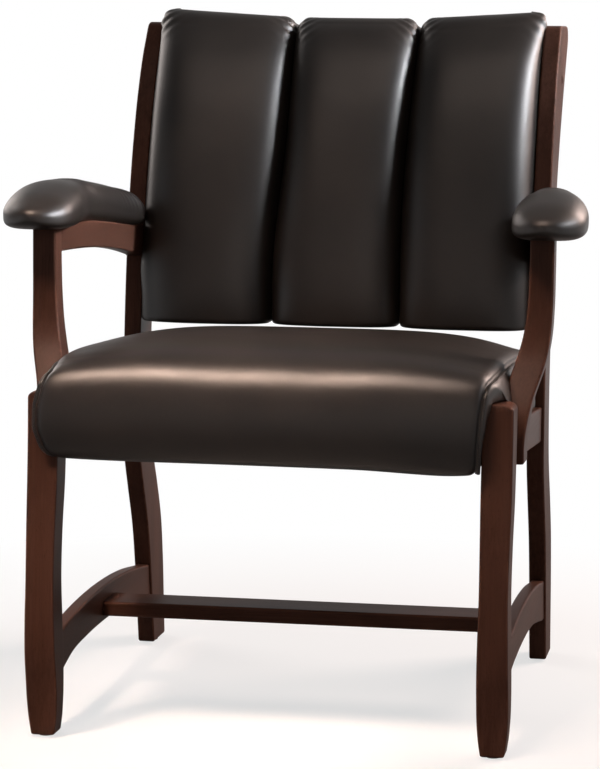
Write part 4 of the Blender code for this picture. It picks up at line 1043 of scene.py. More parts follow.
@dataclass
class SeatFrame:
    """The leaning side rails, and the stretchers between legs and posts."""

    legs: FrontLegs
    posts: RearPosts
    tilt: float = math.radians(3.9)
    bottom: float = 0.3590
    height: float = 0.048
    rail_thickness: float = 0.020
    reveal: float = 0.004
    stretcher_thickness: float = 0.018
    end_top: float = 0.1190
    top_rise: float = 0.0205
    end_bottom: float = 0.0620
    bottom_rise: float = 0.0300
    cross_place: float = 0.332
    cross_breadth: float = 0.070
    cross_thickness: float = 0.020
    cross_bottom: float = 0.100
    cross_ease: float = 0.0035
    ease: float = 0.0028

    @property
    def outer(self) -> float:
        """X of the side rail's outer face."""
        return self.posts.half - self.reveal

    def rail_bottom(self, y: Array | float) -> Array:
        """Height of the rail's lower edge at a Y."""
        return self.bottom - (np.asarray(y) - self.legs.rear(self.bottom)) * math.tan(self.tilt)

    def rail_top(self, y: Array | float) -> Array:
        """Height of the rail's upper edge at a Y."""
        return self.rail_bottom(y) + self.height / math.cos(self.tilt)

    def between(self, bottom: Array, top: Array) -> Array:
        """Outline of a board whose ends are scribed to the leg and the post.

        Args:
            bottom: heights of the lower edge from leg to post.
            top: heights of the upper edge from leg to post.

        Returns:
            The outline as (Y, Z).
        """
        share = np.linspace(0, 1, len(bottom))
        share[1], share[-2] = 0.0012, 0.9988
        lines = []
        for edge in (bottom, top):
            start, end = self.legs.rear(edge[0]) + FIT, self.posts.front(edge[-1]) - FIT
            lines.append(np.stack([start + (end - start) * share, edge], 1))
        return np.concatenate([lines[0], lines[1][::-1]])

    def side_boards(self, finishes: Finishes) -> list[Piece]:
        """The side rails and the arched side stretchers.

        Args:
            finishes: the materials.

        Returns:
            The pieces.
        """
        count = 60
        ends = np.array([self.legs.rear(self.bottom), self.posts.front(self.bottom)])
        y = np.linspace(*ends, count)
        share = np.linspace(0, 1, count)
        rail = self.between(self.rail_bottom(y), self.rail_top(y))
        bottom = self.end_bottom + self.bottom_rise * curve_value(STRETCHER_BOTTOM, 1, share)
        top = self.end_top + self.top_rise * curve_value(STRETCHER_TOP, 1, share)
        stretcher = self.between(bottom, top)
        fade = np.ones(2 * count)
        fade[[0, count - 1, count, -1]] = 0
        pieces = []
        for name, outline, thickness, across in (
            ("seat_side_rail", rail, self.rail_thickness, self.outer - self.rail_thickness / 2),
            ("side_stretcher", stretcher, self.stretcher_thickness, self.posts.centre),
        ):
            rows, worn = sawn_rows(outline, thickness, self.ease, fade)
            for side in Side:
                placed = in_side_plane(rows, side.value * across)
                pieces.append(board(f"{name}_{side.word}", placed, worn, finishes.cherry[Grain.FORE_AFT]))
        return pieces

    def cross_stretcher(self, finishes: Finishes) -> Piece:
        """The flat board that ties the side stretchers.

        Args:
            finishes: the materials.

        Returns:
            The piece.
        """
        reach = self.posts.centre - self.stretcher_thickness / 2 - FIT
        x = np.linspace(-reach, reach, 30)
        y = self.cross_place + ORIGIN_Y
        flat = np.ones_like(x)
        loops, worn = eased_loops(
            flat * (y - self.cross_breadth / 2), flat * (y + self.cross_breadth / 2),
            flat * self.cross_bottom, flat * (self.cross_bottom + self.cross_thickness), self.cross_ease)
        rows = np.concatenate([np.broadcast_to(x[:, None, None], (*loops.shape[:2], 1)), loops], -1)
        return board("cross_stretcher", rows, worn, finishes.cherry[Grain.CROSSWISE])

    def build(self, finishes: Finishes) -> list[Piece]:
        """Saw every board of the seat frame and the stretchers."""
        return [*self.side_boards(finishes), self.cross_stretcher(finishes)]


@dataclass
class Arms:
    """The S-shaped arm supports and the arched arm rails."""

    frame: SeatFrame
    bottom: float = 0.3560
    top: float = 0.6300
    lap: float = 0.0160
    flare: float = 0.0266
    front_place: float = 0.0835
    sweep: float = 0.070
    width: float = 0.0305
    shoulder: float = 0.008
    depth: float = 0.034
    foot_spread: float = 0.010
    rail_thickness: float = 0.024
    rail_top: float = 0.6320
    rail_fall: float = 0.0160
    rail_crown: float = 0.0110
    rail_height: float = 0.0325
    rail_tail: float = 0.0120
    toe: float = 0.0025
    ease: float = 0.0030

    def section(self, z: Array | float) -> tuple[Array, Array, Array, Array]:
        """Inner X, outer X, front Y and rear Y of a support at a height.

        Args:
            z: the height.

        Returns:
            The four, on the right side.
        """
        share = (np.asarray(z) - self.bottom) / (self.top - self.bottom)
        flare, sweep, shoulder, foot = (curve_value(SUPPORT_SHAPE, column, share) for column in (1, 2, 3, 4))
        outer = self.frame.outer + FIT + self.lap + self.flare * flare
        inner = outer - self.width - self.shoulder * shoulder
        front = ORIGIN_Y + self.front_place + self.sweep * sweep
        return inner, outer, front, front + self.depth + self.foot_spread * foot

    def line(self) -> tuple[Array, Array, float]:
        """Start, end and turn of the arm rail's centre line in plan.

        Returns:
            The three, on the right side.
        """
        section = self.section(self.top)
        start = np.array([float(section[0]) + self.rail_thickness / 2, float(section[3])])
        middle = self.rail_top - self.rail_height / 2
        end = np.array([self.frame.posts.centre, float(self.frame.posts.front(middle))])
        return start, end, math.atan2(start[0] - end[0], end[1] - start[1])

    def top_line(self, share: Array | float) -> Array:
        """Height of the arm rail's upper edge at a share of its run."""
        share = np.maximum(share, 0)
        crown = self.rail_crown * np.sin(math.pi * np.minimum(share, 1) ** 0.8)
        return self.rail_top + crown * (1 - share) - self.rail_fall * share

    def bottom_line(self, share: Array | float) -> Array:
        """Height of the arm rail's arched lower edge."""
        share = np.asarray(share)
        return self.rail_top - self.rail_height - self.rail_fall * share**2 - self.rail_tail * share**3

    def supports(self, finishes: Finishes) -> list[Piece]:
        """Both arm supports, notched over the side rails under the cushion.

        Args:
            finishes: the materials.

        Returns:
            The pieces.
        """
        y = self.section(self.bottom)[2]
        step = float(self.frame.rail_top(y)) + FIT
        z = np.concatenate([
            self.bottom + self.toe * (1 - np.cos(np.linspace(0, math.pi / 2, 5))),
            np.linspace(self.bottom + 2 * self.toe, step - 0.0002, 12),
            np.linspace(step + 0.0002, self.top - 0.001, 66), [self.top],
        ])
        inset = toe_inset(z, self.bottom, self.toe)
        inner, outer, front, rear = self.section(z)
        inner = np.where(z < step, self.frame.outer + FIT, inner)
        loops, worn = eased_loops(inner + inset * 0.2, outer - inset, front + inset, rear - inset, self.ease)
        rows = at_heights(loops, z)
        return [
            board(f"arm_support_{side.word}", rows * side.flip, worn, finishes.cherry[Grain.UPRIGHT])
            for side in Side
        ]

    def rails(self, finishes: Finishes) -> list[Piece]:
        """Both arm rails, each from its support to its post.

        Args:
            finishes: the materials.

        Returns:
            The pieces.
        """
        start, _, turn = self.line()
        count = 50
        share = np.linspace(0, 1, count)
        share[1], share[-2] = 0.0015, 0.9985
        lines = []
        for heights in (self.bottom_line(share), self.top_line(share)):
            last = (float(self.frame.posts.front(heights[-1])) - start[1]) / math.cos(turn) - FIT
            lines.append(np.stack([FIT + (last - FIT) * share, heights], 1))
        outline = np.concatenate([lines[0], lines[1][::-1]])
        fade = np.ones(2 * count)
        fade[[0, count - 1, count, -1]] = 0
        rows, worn = sawn_rows(outline, self.rail_thickness, self.ease, fade)
        x = start[0] - rows[..., 0] * math.sin(turn) + rows[..., 2] * math.cos(turn)
        y = start[1] + rows[..., 0] * math.cos(turn) + rows[..., 2] * math.sin(turn)
        placed = np.stack([x, y, rows[..., 1]], -1)
        return [
            board(f"arm_rail_{side.word}", placed * side.flip, worn, finishes.cherry[Grain.FORE_AFT])
            for side in Side
        ]

    def build(self, finishes: Finishes) -> list[Piece]:
        """Shape the supports and saw the rails."""
        return [*self.supports(finishes), *self.rails(finishes)]


# Soft pieces


def ladder(around: int, ribs: int, ring_start: int, inner_start: int) -> tuple[list, list]:
    """Faces that close a ring with ribs from its first half to its second half.

    Rib i joins point i of the ring to point -i, over ribs inner points, and the first and
    last ribs have shrunk to one point each.

    Args:
        around: how many points the ring has.
        ribs: how many inner points a rib has.
        ring_start: number of the ring's first point.
        inner_start: number of the first inner point.

    Returns:
        The quads and the triangles.
    """
    half = around // 2
    i = np.arange(half + 1)
    table = np.empty((half + 1, ribs + 2), int)
    table[:, 0] = ring_start + i
    table[:, -1] = ring_start + (-i) % around
    table[1:-1, 1:-1] = inner_start + np.arange((half - 1) * ribs).reshape(half - 1, ribs)
    table[0, 1:-1], table[-1, 1:-1] = table[0, 0], table[-1, 0]
    quads = np.stack([table[1:-2, :-1], table[2:-1, :-1], table[2:-1, 1:], table[1:-2, 1:]], -1)
    first = np.stack([table[0, :-1], table[1, :-1], table[1, 1:]], -1)
    last = np.stack([table[-2, :-1], table[-1, :-1], table[-2, 1:]], -1)
    return quads.reshape(-1, 4).tolist(), np.concatenate([first, last]).tolist()


def closed_form(tube: Array, first: Array, last: Array) -> tuple[Array, list]:
    """Points and faces of a tube whose two ends are closed by ribs.

    Args:
        tube: (rings, around, 3).
        first: inner points of the ribs at the first ring, (around / 2 + 1, ribs, 3).
        last: the same at the last ring.

    Returns:
        The points and the faces.
    """
    rings, around = tube.shape[:2]
    ribs = first.shape[1]
    count = rings * around
    inner = (around // 2 - 1) * ribs
    points = np.concatenate([tube.reshape(-1, 3), first[1:-1].reshape(-1, 3), last[1:-1].reshape(-1, 3)])
    quads_a, tris_a = ladder(around, ribs, 0, count)
    quads_b, tris_b = ladder(around, ribs, count - around, count + inner)
    turned = [face[::-1] for face in quads_a + tris_a]
    return points, grid_faces(rings, around).tolist() + turned + quads_b + tris_b


def read_between(values: Array, places: Array, wrap: bool) -> Array:
    """Read rows of values at fractional row numbers, on a Catmull-Rom cubic.

    Args:
        values: the rows.
        places: row numbers.
        wrap: whether the last row joins the first.

    Returns:
        The values there.
    """
    count = len(values)
    low = np.floor(places).astype(int)
    t = (places - low).reshape(-1, *([1] * (values.ndim - 1)))
    rows = (low + k for k in (-1, 0, 1, 2))
    a, b, c, d = (values[row % count if wrap else np.clip(row, 0, count - 1)] for row in rows)
    return b + 0.5 * t * (c - a + t * (2 * a - 5 * b + 4 * c - d + t * (3 * (b - c) + d - a)))


def softened(grid: Array, rounds: int, wrap: bool) -> Array:
    """Smooth a grid of moves by (1, 2, 1) / 4 along its columns, and also round its rings if they wrap."""
    for _ in range(rounds):
        if wrap:
            grid = (np.roll(grid, 1, axis=1) + 2 * grid + np.roll(grid, -1, axis=1)) / 4
        grid = np.concatenate([grid[:1], (grid[:-2] + 2 * grid[1:-1] + grid[2:]) / 4, grid[-1:]])
    return grid


def blow_up(points: Array, faces: list, held: Array, pressure: float, cap: float, slack: float) -> Array:
    """Blow a closed skin up with Blender's cloth, and say how far each point moved.

    Args:
        points: the skin's points.
        faces: its faces.
        held: 1 for each point that is sewn down, and otherwise 0.
        pressure: the cloth's inner pressure.
        cap: the furthest that a point may move.
        slack: how much larger the leather is cut than its form, as a share.

    Returns:
        Each point's move.
    """
    item = surface_object("skin_being_filled", points, faces)
    item.vertex_groups.new(name="held").add(np.flatnonzero(held).tolist(), 1.0, "REPLACE")
    cloth = item.modifiers.new("filling", "CLOTH")
    settings = cloth.settings
    for setting, value in LEATHER_CLOTH.items():
        setattr(settings, setting, value)
    settings.uniform_pressure_force = pressure
    settings.shrink_min = -slack
    settings.effector_weights.gravity = 0
    cloth.point_cache.frame_start, cloth.point_cache.frame_end = 1, FILLING_FRAMES
    scene = bpy.context.scene
    for number in range(1, FILLING_FRAMES + 1):
        scene.frame_set(number)
    filled = item.evaluated_get(bpy.context.evaluated_depsgraph_get()).to_mesh()
    after = np.zeros(len(filled.vertices) * 3)
    filled.vertices.foreach_get("co", after)
    mesh = item.data
    bpy.data.objects.remove(item, do_unlink=True)
    bpy.data.meshes.remove(mesh)
    scene.frame_set(1)
    move = after.reshape(-1, 3) - points
    size = np.linalg.norm(move, axis=1, keepdims=True)
    return move / (1 + size / cap)


def outer_normals(tube: Array, centre: Array) -> Array:
    """Normals of a tube of closed rings, from the cross product of its two directions.

    Args:
        tube: (rings, around, 3).
        centre: the middle that they point away from, of the tube or of each ring.

    Returns:
        A normal for each point.
    """
    around = np.roll(tube, -1, axis=1) - np.roll(tube, 1, axis=1)
    normals = unit(np.cross(around, np.gradient(tube, axis=0)))
    return normals * np.sign(np.sum(normals * (tube - centre), -1).mean())


def push_out(points: Array, low: Array, high: Array) -> Array:
    """Push the points that lie in boxes out of them, through the nearest open face.

    Args:
        points: points, (n, 3).
        low: the boxes' lowest corners at each point, with -inf where no face is open.
        high: their highest corners.

    Returns:
        The points, moved where they lay inside.
    """
    below, above = points - low, high - points
    inside = np.all((below > 0) & (above > 0), axis=1)
    gaps = np.concatenate([below, above], 1)
    nearest = np.argmin(gaps, axis=1)
    shift = np.zeros_like(points)
    rows = np.arange(len(points))
    sign = np.where(nearest < 3, -1.0, 1.0)
    shift[rows, nearest % 3] = sign * gaps[rows, nearest]
    return points + shift * inside[:, None]


def open_box(inner: Array, front: Array, rear: Array, top: Array) -> tuple[Array, Array]:
    """Corners of the box that a frame piece fills at each point, open outwards and below."""
    low, high = (inner, front, -np.inf), (np.inf, rear, top)
    return tuple(np.stack([np.broadcast_to(v, front.shape) for v in corner], 1) for corner in (low, high))


@dataclass
class PaddedForm:
    """A padded leather form: a tube of rings with both ends closed by ribs."""

    rings: int = 120
    around: int = 240
    filled_rings: int = 34
    filled_around: int = 72
    filled_ribs: int = 4
    pressure: float = 4.0
    cap: float = 0.006
    slack: float = 0.002
    smoothing: int = 10

    def tube(self, rings: int, around: int) -> Array:
        """The tube's points, (rings, around, 3)."""
        raise NotImplementedError

    def rib_places(self, ring: Array) -> Array:
        """Where the inner points of the closing ribs lie, as shares of each rib."""
        return np.broadcast_to(np.linspace(0, 1, 10)[1:-1], (ring.shape[0] // 2 + 1, 8))

    def rib_points(self, ring: Array, share: Array, last: bool) -> Array:
        """Inner points of the ribs that close a ring.

        Args:
            ring: the ring that is closed.
            share: places along each rib.
            last: whether it is the last ring; this base shape does not use it.

        Returns:
            The points, (around / 2 + 1, ribs, 3).
        """
        i = np.arange(ring.shape[0] // 2 + 1)
        start, end = ring[i], ring[-i]
        return start[:, None] + (end - start)[:, None] * share[..., None]

    def held(self, rings: int, around: int) -> Array:
        """Which of the tube's points are sewn down, (rings, around)."""
        raise NotImplementedError

    def fill(self, tube: Array, places: Array) -> tuple[Array, Array, Array]:
        """Moves of the filled skin, for the fine tube and its two closed ends.

        Args:
            tube: the fine tube.
            places: shares of the fine ribs' inner points.

        Returns:
            The moves.
        """
        rings, around, ribs = self.filled_rings, self.filled_around, self.filled_ribs
        coarse = self.tube(rings, around)
        share = np.broadcast_to(np.linspace(0, 1, ribs + 2)[1:-1], (around // 2 + 1, ribs))
        ends = [self.rib_points(coarse[k], share, k == -1) for k in (0, -1)]
        points, faces = closed_form(coarse, *ends)
        held = np.zeros(len(points))
        held[: rings * around] = self.held(rings, around).ravel()
        move = blow_up(points, faces, held, self.pressure, self.cap, self.slack)
        on_tube = move[: rings * around].reshape(rings, around, 3)
        on_tube = softened(on_tube, self.smoothing, True) * (1 - self.held(rings, around))[..., None]
        row = np.linspace(0, rings - 1, tube.shape[0])
        column = np.arange(tube.shape[1]) * around / tube.shape[1]
        rows = read_between(on_tube, row, False)
        found = [read_between(rows.transpose(1, 0, 2), column, True).transpose(1, 0, 2)]
        i = np.arange(around // 2 + 1)
        line = np.arange(tube.shape[1] // 2 + 1)[:, None]
        index = places * (ribs + 1)
        low = np.clip(np.floor(index).astype(int), 0, ribs)
        t = (index - low)[..., None]
        for ring, inside in zip((on_tube[0], on_tube[-1]), np.split(move[rings * around:], 2)):
            grid = np.zeros((around // 2 + 1, ribs + 2, 3))
            grid[1:-1, 1:-1] = inside.reshape(-1, ribs, 3)
            grid[:, 0], grid[:, -1] = ring[i], ring[-i]
            grid[0, 1:-1], grid[-1, 1:-1] = grid[0, :1], grid[-1, :1]
            grid[:, 1:-1] = softened(grid, self.smoothing, False)[:, 1:-1]
            spread = read_between(grid, column[: len(line)], False)
            found.append(spread[line, low] * (1 - t) + spread[line, low + 1] * t)
        return tuple(found)

    def dress(self, tube: Array) -> tuple[Array, Array]:
        """Shape the fine tube, and mark its seams, 0 to 1."""
        return tube, np.zeros(tube.shape[:2])

    def dress_end(self, points: Array, ring: Array, outward: int) -> Array:
        """Shape the inner points of the ribs that close a ring."""
        return points

    def clear(self, points: Array) -> Array:
        """Keep the leather clear of the pieces that it is fitted round."""
        return points

    def form(self, name: str) -> Item:
        """Make, fill and sew the form.

        Args:
            name: the piece's name.

        Returns:
            The object.
        """
        tube = self.tube(self.rings, self.around)
        places = [self.rib_places(tube[k]) for k in (0, -1)]
        ends = [self.rib_points(tube[k], places[k], k == -1) for k in (0, -1)]
        moves = self.fill(tube, places[0])
        tube = tube + moves[0]
        ends = [ends[0] + moves[1], ends[1] + moves[2]]
        log.info("%s: filled, furthest move %.1f mm", name, 1000 * float(np.abs(moves[0]).max()))
        tube, seam = self.dress(tube)
        ends = [self.dress_end(ends[k], tube[k], -1 - 2 * k) for k in (0, -1)]
        points, faces = closed_form(tube, *ends)
        marks = np.zeros(len(points))
        marks[: seam.size] = seam.ravel()
        return surface_object(name, self.clear(points), faces, {"seam": marks})


@dataclass
class SeatCushion(PaddedForm):
    """The seat: a crowned top that rolls over the front rail, and boxed, sewn sides."""

    frame: SeatFrame = None
    arms: Arms = None
    rings: int = 150
    around: int = 340
    filled_rings: int = 44
    filled_around: int = 120
    cap: float = 0.005
    sag: float = 0.0045
    band_width: float = 0.0050
    stitch_step: float = 0.0042
    groove: float = 0.0012
    groove_place: float = 0.0030
    band: float = 0.0085
    clearance: float = 0.0008
    underside: float = 0.4201

    def profile(self, around: int) -> tuple[Array, Array]:
        """Side profile of the middle of the seat, and each point's share of its path.

        The first half runs from the rear over the top and the front roll to the roll's
        underside, and the second half runs from there back under the seat.

        Args:
            around: how many points.

        Returns:
            The points as (Y, Z), and the shares.
        """
        under, slope = self.underside, math.tan(self.frame.tilt)
        below = [(0.0260, under + 0.0011), (0.036, under + 0.0004)]
        below += [(y, under - (y - 0.0425) * slope) for y in (0.10, 0.30, 0.50)]
        low = flowing([*SEAT_ROLL_LINE, *below, *SEAT_REAR_LINE])
        half = around // 2
        path = np.concatenate([evenly(line, half + 1)[:-1] for line in (flowing(SEAT_TOP_LINE), low)])
        share = np.concatenate([np.arange(half) / half, 1 + np.arange(half) / half])
        return path + np.array([ORIGIN_Y, 0]), share

    def tube(self, rings: int, around: int) -> Array:
        """Rings from side to side, drawn in towards the seams.

        A ring at s of the half width is the middle profile moved inwards by
        inset * (0.7 |s|^power + 0.3 (1 - sqrt(1 - q^2))), with q the last twentieth of s.

        Args:
            rings: how many rings.
            around: how many points in each.

        Returns:
            The points, (rings, around, 3).
        """
        path, share = self.profile(around)
        stations = SEAT_SHAPE[:, 0]
        inset, power, left, right = (np.interp(share, stations, column) for column in SEAT_SHAPE[:, 1:].T)
        v = np.linspace(-1, 1, rings)
        s = (0.35 * v + 0.65 * np.sin(v * math.pi / 2))[:, None]
        q = np.clip((np.abs(s) - 0.95) / 0.05, 0, 1)
        drawn = 0.7 * np.abs(s) ** power + 0.3 * (1 - np.sqrt(1 - q**2))
        flat = path[None] + (inward_normals(path) * inset[:, None])[None] * drawn[..., None]
        x = s * np.where(s < 0, left, right)
        under = np.interp(share, [1.16, 1.20, 1.90, 1.94], [0, 1, 1, 0])
        roll = np.interp(share, [0.88, 0.97, 1.06, 1.10], [0, 1, 1, 0])
        z = flat[..., 1] - 0.0118 * smooth_step(0.2815, 0.2850, np.abs(x)) * under
        z = z - self.sag * roll * smooth_step(0.10, 0.25, x)
        return np.stack([x, flat[..., 0], z], -1)

    def rib_places(self, ring: Array) -> Array:
        """Close together over the sewn band under the seam, then even.

        Args:
            ring: the ring that is closed.

        Returns:
            The shares, (around / 2 + 1, ribs).
        """
        half = ring.shape[0] // 2
        i = np.arange(half + 1)
        length = np.maximum(np.linalg.norm(ring[i] - ring[-i], axis=1), 1e-4)
        band = np.minimum(self.band / length, 0.35)[:, None]
        near = band * np.linspace(0, 1, 19)[1:][None]
        middle = band + (0.94 - band) * np.linspace(0, 1, 12)[1:][None]
        return np.concatenate([near, middle, np.full((half + 1, 1), 0.98)], 1)

    def rib_points(self, ring: Array, share: Array, last: bool) -> Array:
        """The side panel: each rib swells by bulge * (1 - |2t - 1|^2.6)^0.5.

        Args:
            ring: the ring that is closed.
            share: places along each rib.
            last: whether it is the last ring.

        Returns:
            The points, (around / 2 + 1, ribs, 3).
        """
        points = super().rib_points(ring, share, last)
        length = np.linalg.norm(points[:, -1] - points[:, 0], axis=1)
        deepest = 0.0115 if last else 0.0060
        roll = np.interp(np.linspace(0, 1, len(points)), [0, 0.05, 0.62, 0.78, 0.90, 0.97, 1],
                         [0.002, 0.0035, 0.0045, deepest, 0.8 * deepest, 0.3 * deepest, 0.001])
        swell = roll * np.minimum(1, length / 0.02)
        outward = 1 if last else -1
        points[..., 0] += outward * swell[:, None] * np.sqrt(np.maximum(1 - np.abs(2 * share - 1) ** 2.6, 0))
        return points

    def held(self, rings: int, around: int) -> Array:
        """Sewn at both seams, tacked underneath."""
        ring, place = np.arange(rings)[:, None], np.arange(around)
        return ((place > around // 2) | (ring % (rings - 1) == 0)).astype(float)

    def dress(self, tube: Array) -> tuple[Array, Array]:
        """Sink the seams and gather the leather beside them a little.

        Args:
            tube: the fine tube, (rings, around, 3).

        Returns:
            The tube, reshaped, and its seam marks.
        """
        around = tube.shape[1]
        normals = outer_normals(tube, tube.mean(axis=(0, 1)))
        gap = np.linalg.norm(np.gradient(tube, axis=0), axis=-1)
        distance = np.cumsum(gap, axis=0)
        distance = np.minimum(distance - distance[:1], distance[-1:] - distance)
        u = np.arange(around) / around
        path = np.cumsum(np.linalg.norm(np.roll(tube[0], -1, axis=0) - tube[0], axis=1))
        # The seam mark dulls the leather in the sunk seam and darkens it there as painted shade.
        seam = np.exp(-(distance / 0.0045) ** 2) * (u < 0.52)[None]
        gather = 0.00035 * np.sin(path * 520 + 2.2 * np.sin(path * 61)) * np.exp(-distance / 0.010)
        waves = 0.0011 * soft_noise(tube * np.array([9, 13, 13]), 5) * smooth_step(0.0, 0.05, distance)
        pull = 0.0008 * np.sin(tube[..., 0] * 46 + 1.4) * np.exp(-((u - 0.40) / 0.05) ** 2)[None]
        tube = tube + normals * ((gather + waves + pull) * (u < 0.5)[None] - 0.0022 * seam)[..., None]
        return tube, seam

    def dress_end(self, points: Array, ring: Array, outward: int) -> Array:
        """Press a groove under the seam.

        Args:
            points: inner points of the ribs, (around / 2 + 1, ribs, 3).
            ring: the ring that they close.
            outward: 1 on the right side and -1 on the left.

        Returns:
            The points, reshaped.
        """
        run = np.linalg.norm(points - ring[: len(points), None], axis=-1)
        groove = self.groove * np.exp(-((run - self.groove_place) / 0.0016) ** 2)
        return points - groove[..., None] * np.array([outward, 0, 0])

    def clear(self, points: Array) -> Array:
        """Fold the leather round the legs, the supports and the posts.

        Args:
            points: points of the leather.

        Returns:
            The points, moved where a piece fills their place.
        """
        legs, posts, gap = self.frame.legs, self.frame.posts, self.clearance
        z = points[:, 2]
        leg = open_box(legs.inner - gap, legs.front(z) - gap, legs.rear(z) + gap, legs.top + gap)
        for side in Side:
            points = push_out(points * side.flip, *leg)
            inner, _, front, rear = self.arms.section(points[:, 2])
            points = push_out(points, *open_box(inner - gap, front - gap, rear + gap, np.inf))
            post_front = posts.front(points[:, 2]) - gap
            points = push_out(points, *open_box(posts.inner - gap, post_front, np.inf, np.inf)) * side.flip
        return points

    def beside_seam(self, path: Array, ring: Array, side: Side, lift: float) -> tuple[Array, Array, Array]:
        """Move a path from the seam to the middle of the welt.

        Args:
            path: points along the seam.
            ring: the whole ring that the seam is part of.
            side: the side of the seat.
            lift: how far it lies over the leather.

        Returns:
            The path, its directions along and its directions away from the seat.
        """
        along = unit(np.gradient(path, axis=0))
        up = unit(np.cross(along, side.outward))
        up = up * np.sign(np.sum(up * (path - ring.mean(0)), -1, keepdims=True))
        return self.clear(path + side.outward * 0.55 * self.band_width + up * lift), along, up

    def welt(self, finishes: Finishes, side: Side) -> Piece:
        """The flat sewn band that runs beside the seam, from the rear over the roll.

        Args:
            finishes: the materials.
            side: the side of the seat.

        Returns:
            The piece.
        """
        ring = self.tube(self.rings, self.around)[0 if side is Side.LEFT else -1]
        path = evenly(ring[: self.around // 2 + 1], 260)
        path, _, up = self.beside_seam(path, ring, side, -0.0004)
        rows = tube_rows(path, self.band_width / 2, up, 16, 0.42)
        item = skin(f"seat_welt_{side.word}", rows)
        return Piece(item, finishes.leather, "black_leather")

    def stitches(self, finishes: Finishes, side: Side) -> Piece:
        """Thread along the welt: short flat loops, one every stitch_step.

        Args:
            finishes: the materials.
            side: the side of the seat.

        Returns:
            The piece.
        """
        ring = self.tube(self.rings, self.around)[0 if side is Side.LEFT else -1]
        line = evenly(ring[int(self.around * 0.02): self.around // 2], 2000)
        length = float(np.sum(np.linalg.norm(np.diff(line, axis=0), axis=1)))
        count = int(length / self.stitch_step)
        centre, along, up = self.beside_seam(evenly(line, count + 2)[1:-1], ring, side, 0.0009)
        share = np.linspace(-1, 1, 7)
        angle = np.arange(6) * math.pi / 3
        thick = 0.00035 * np.sqrt(1.02 - share**2)
        path = centre[:, None] + along[:, None] * (share * self.stitch_step * 0.36)[None, :, None]
        path = path - up[:, None] * (0.0004 * share**2)[None, :, None]
        spoke = up[:, None] * np.cos(angle)[None, :, None] + side.outward * np.sin(angle)[None, :, None]
        points = path[:, :, None] + spoke[:, None] * thick[None, :, None, None]
        faces = grid_faces(7, 6)
        ends = np.array([[0, 1, 2, 3], [3, 4, 5, 0]])
        faces = np.concatenate([faces, ends[:, ::-1], ends + 36])
        every = (faces[None] + (np.arange(count) * 42)[:, None, None]).reshape(-1, 4)
        item = surface_object(f"seat_stitches_{side.word}", points, every.tolist())
        return Piece(item, finishes.thread, "black_leather")

    def build(self, finishes: Finishes) -> list[Piece]:
        """Make the cushion, its welts and the stitches along them.

        Args:
            finishes: the materials.

        Returns:
            The pieces.
        """
        item = self.form("seat_cushion_leather")
        pieces = [Piece(item, finishes.leather, "black_leather", ("seat_cushion",))]
        for side in Side:
            pieces += [self.welt(finishes, side), self.stitches(finishes, side)]
        return pieces


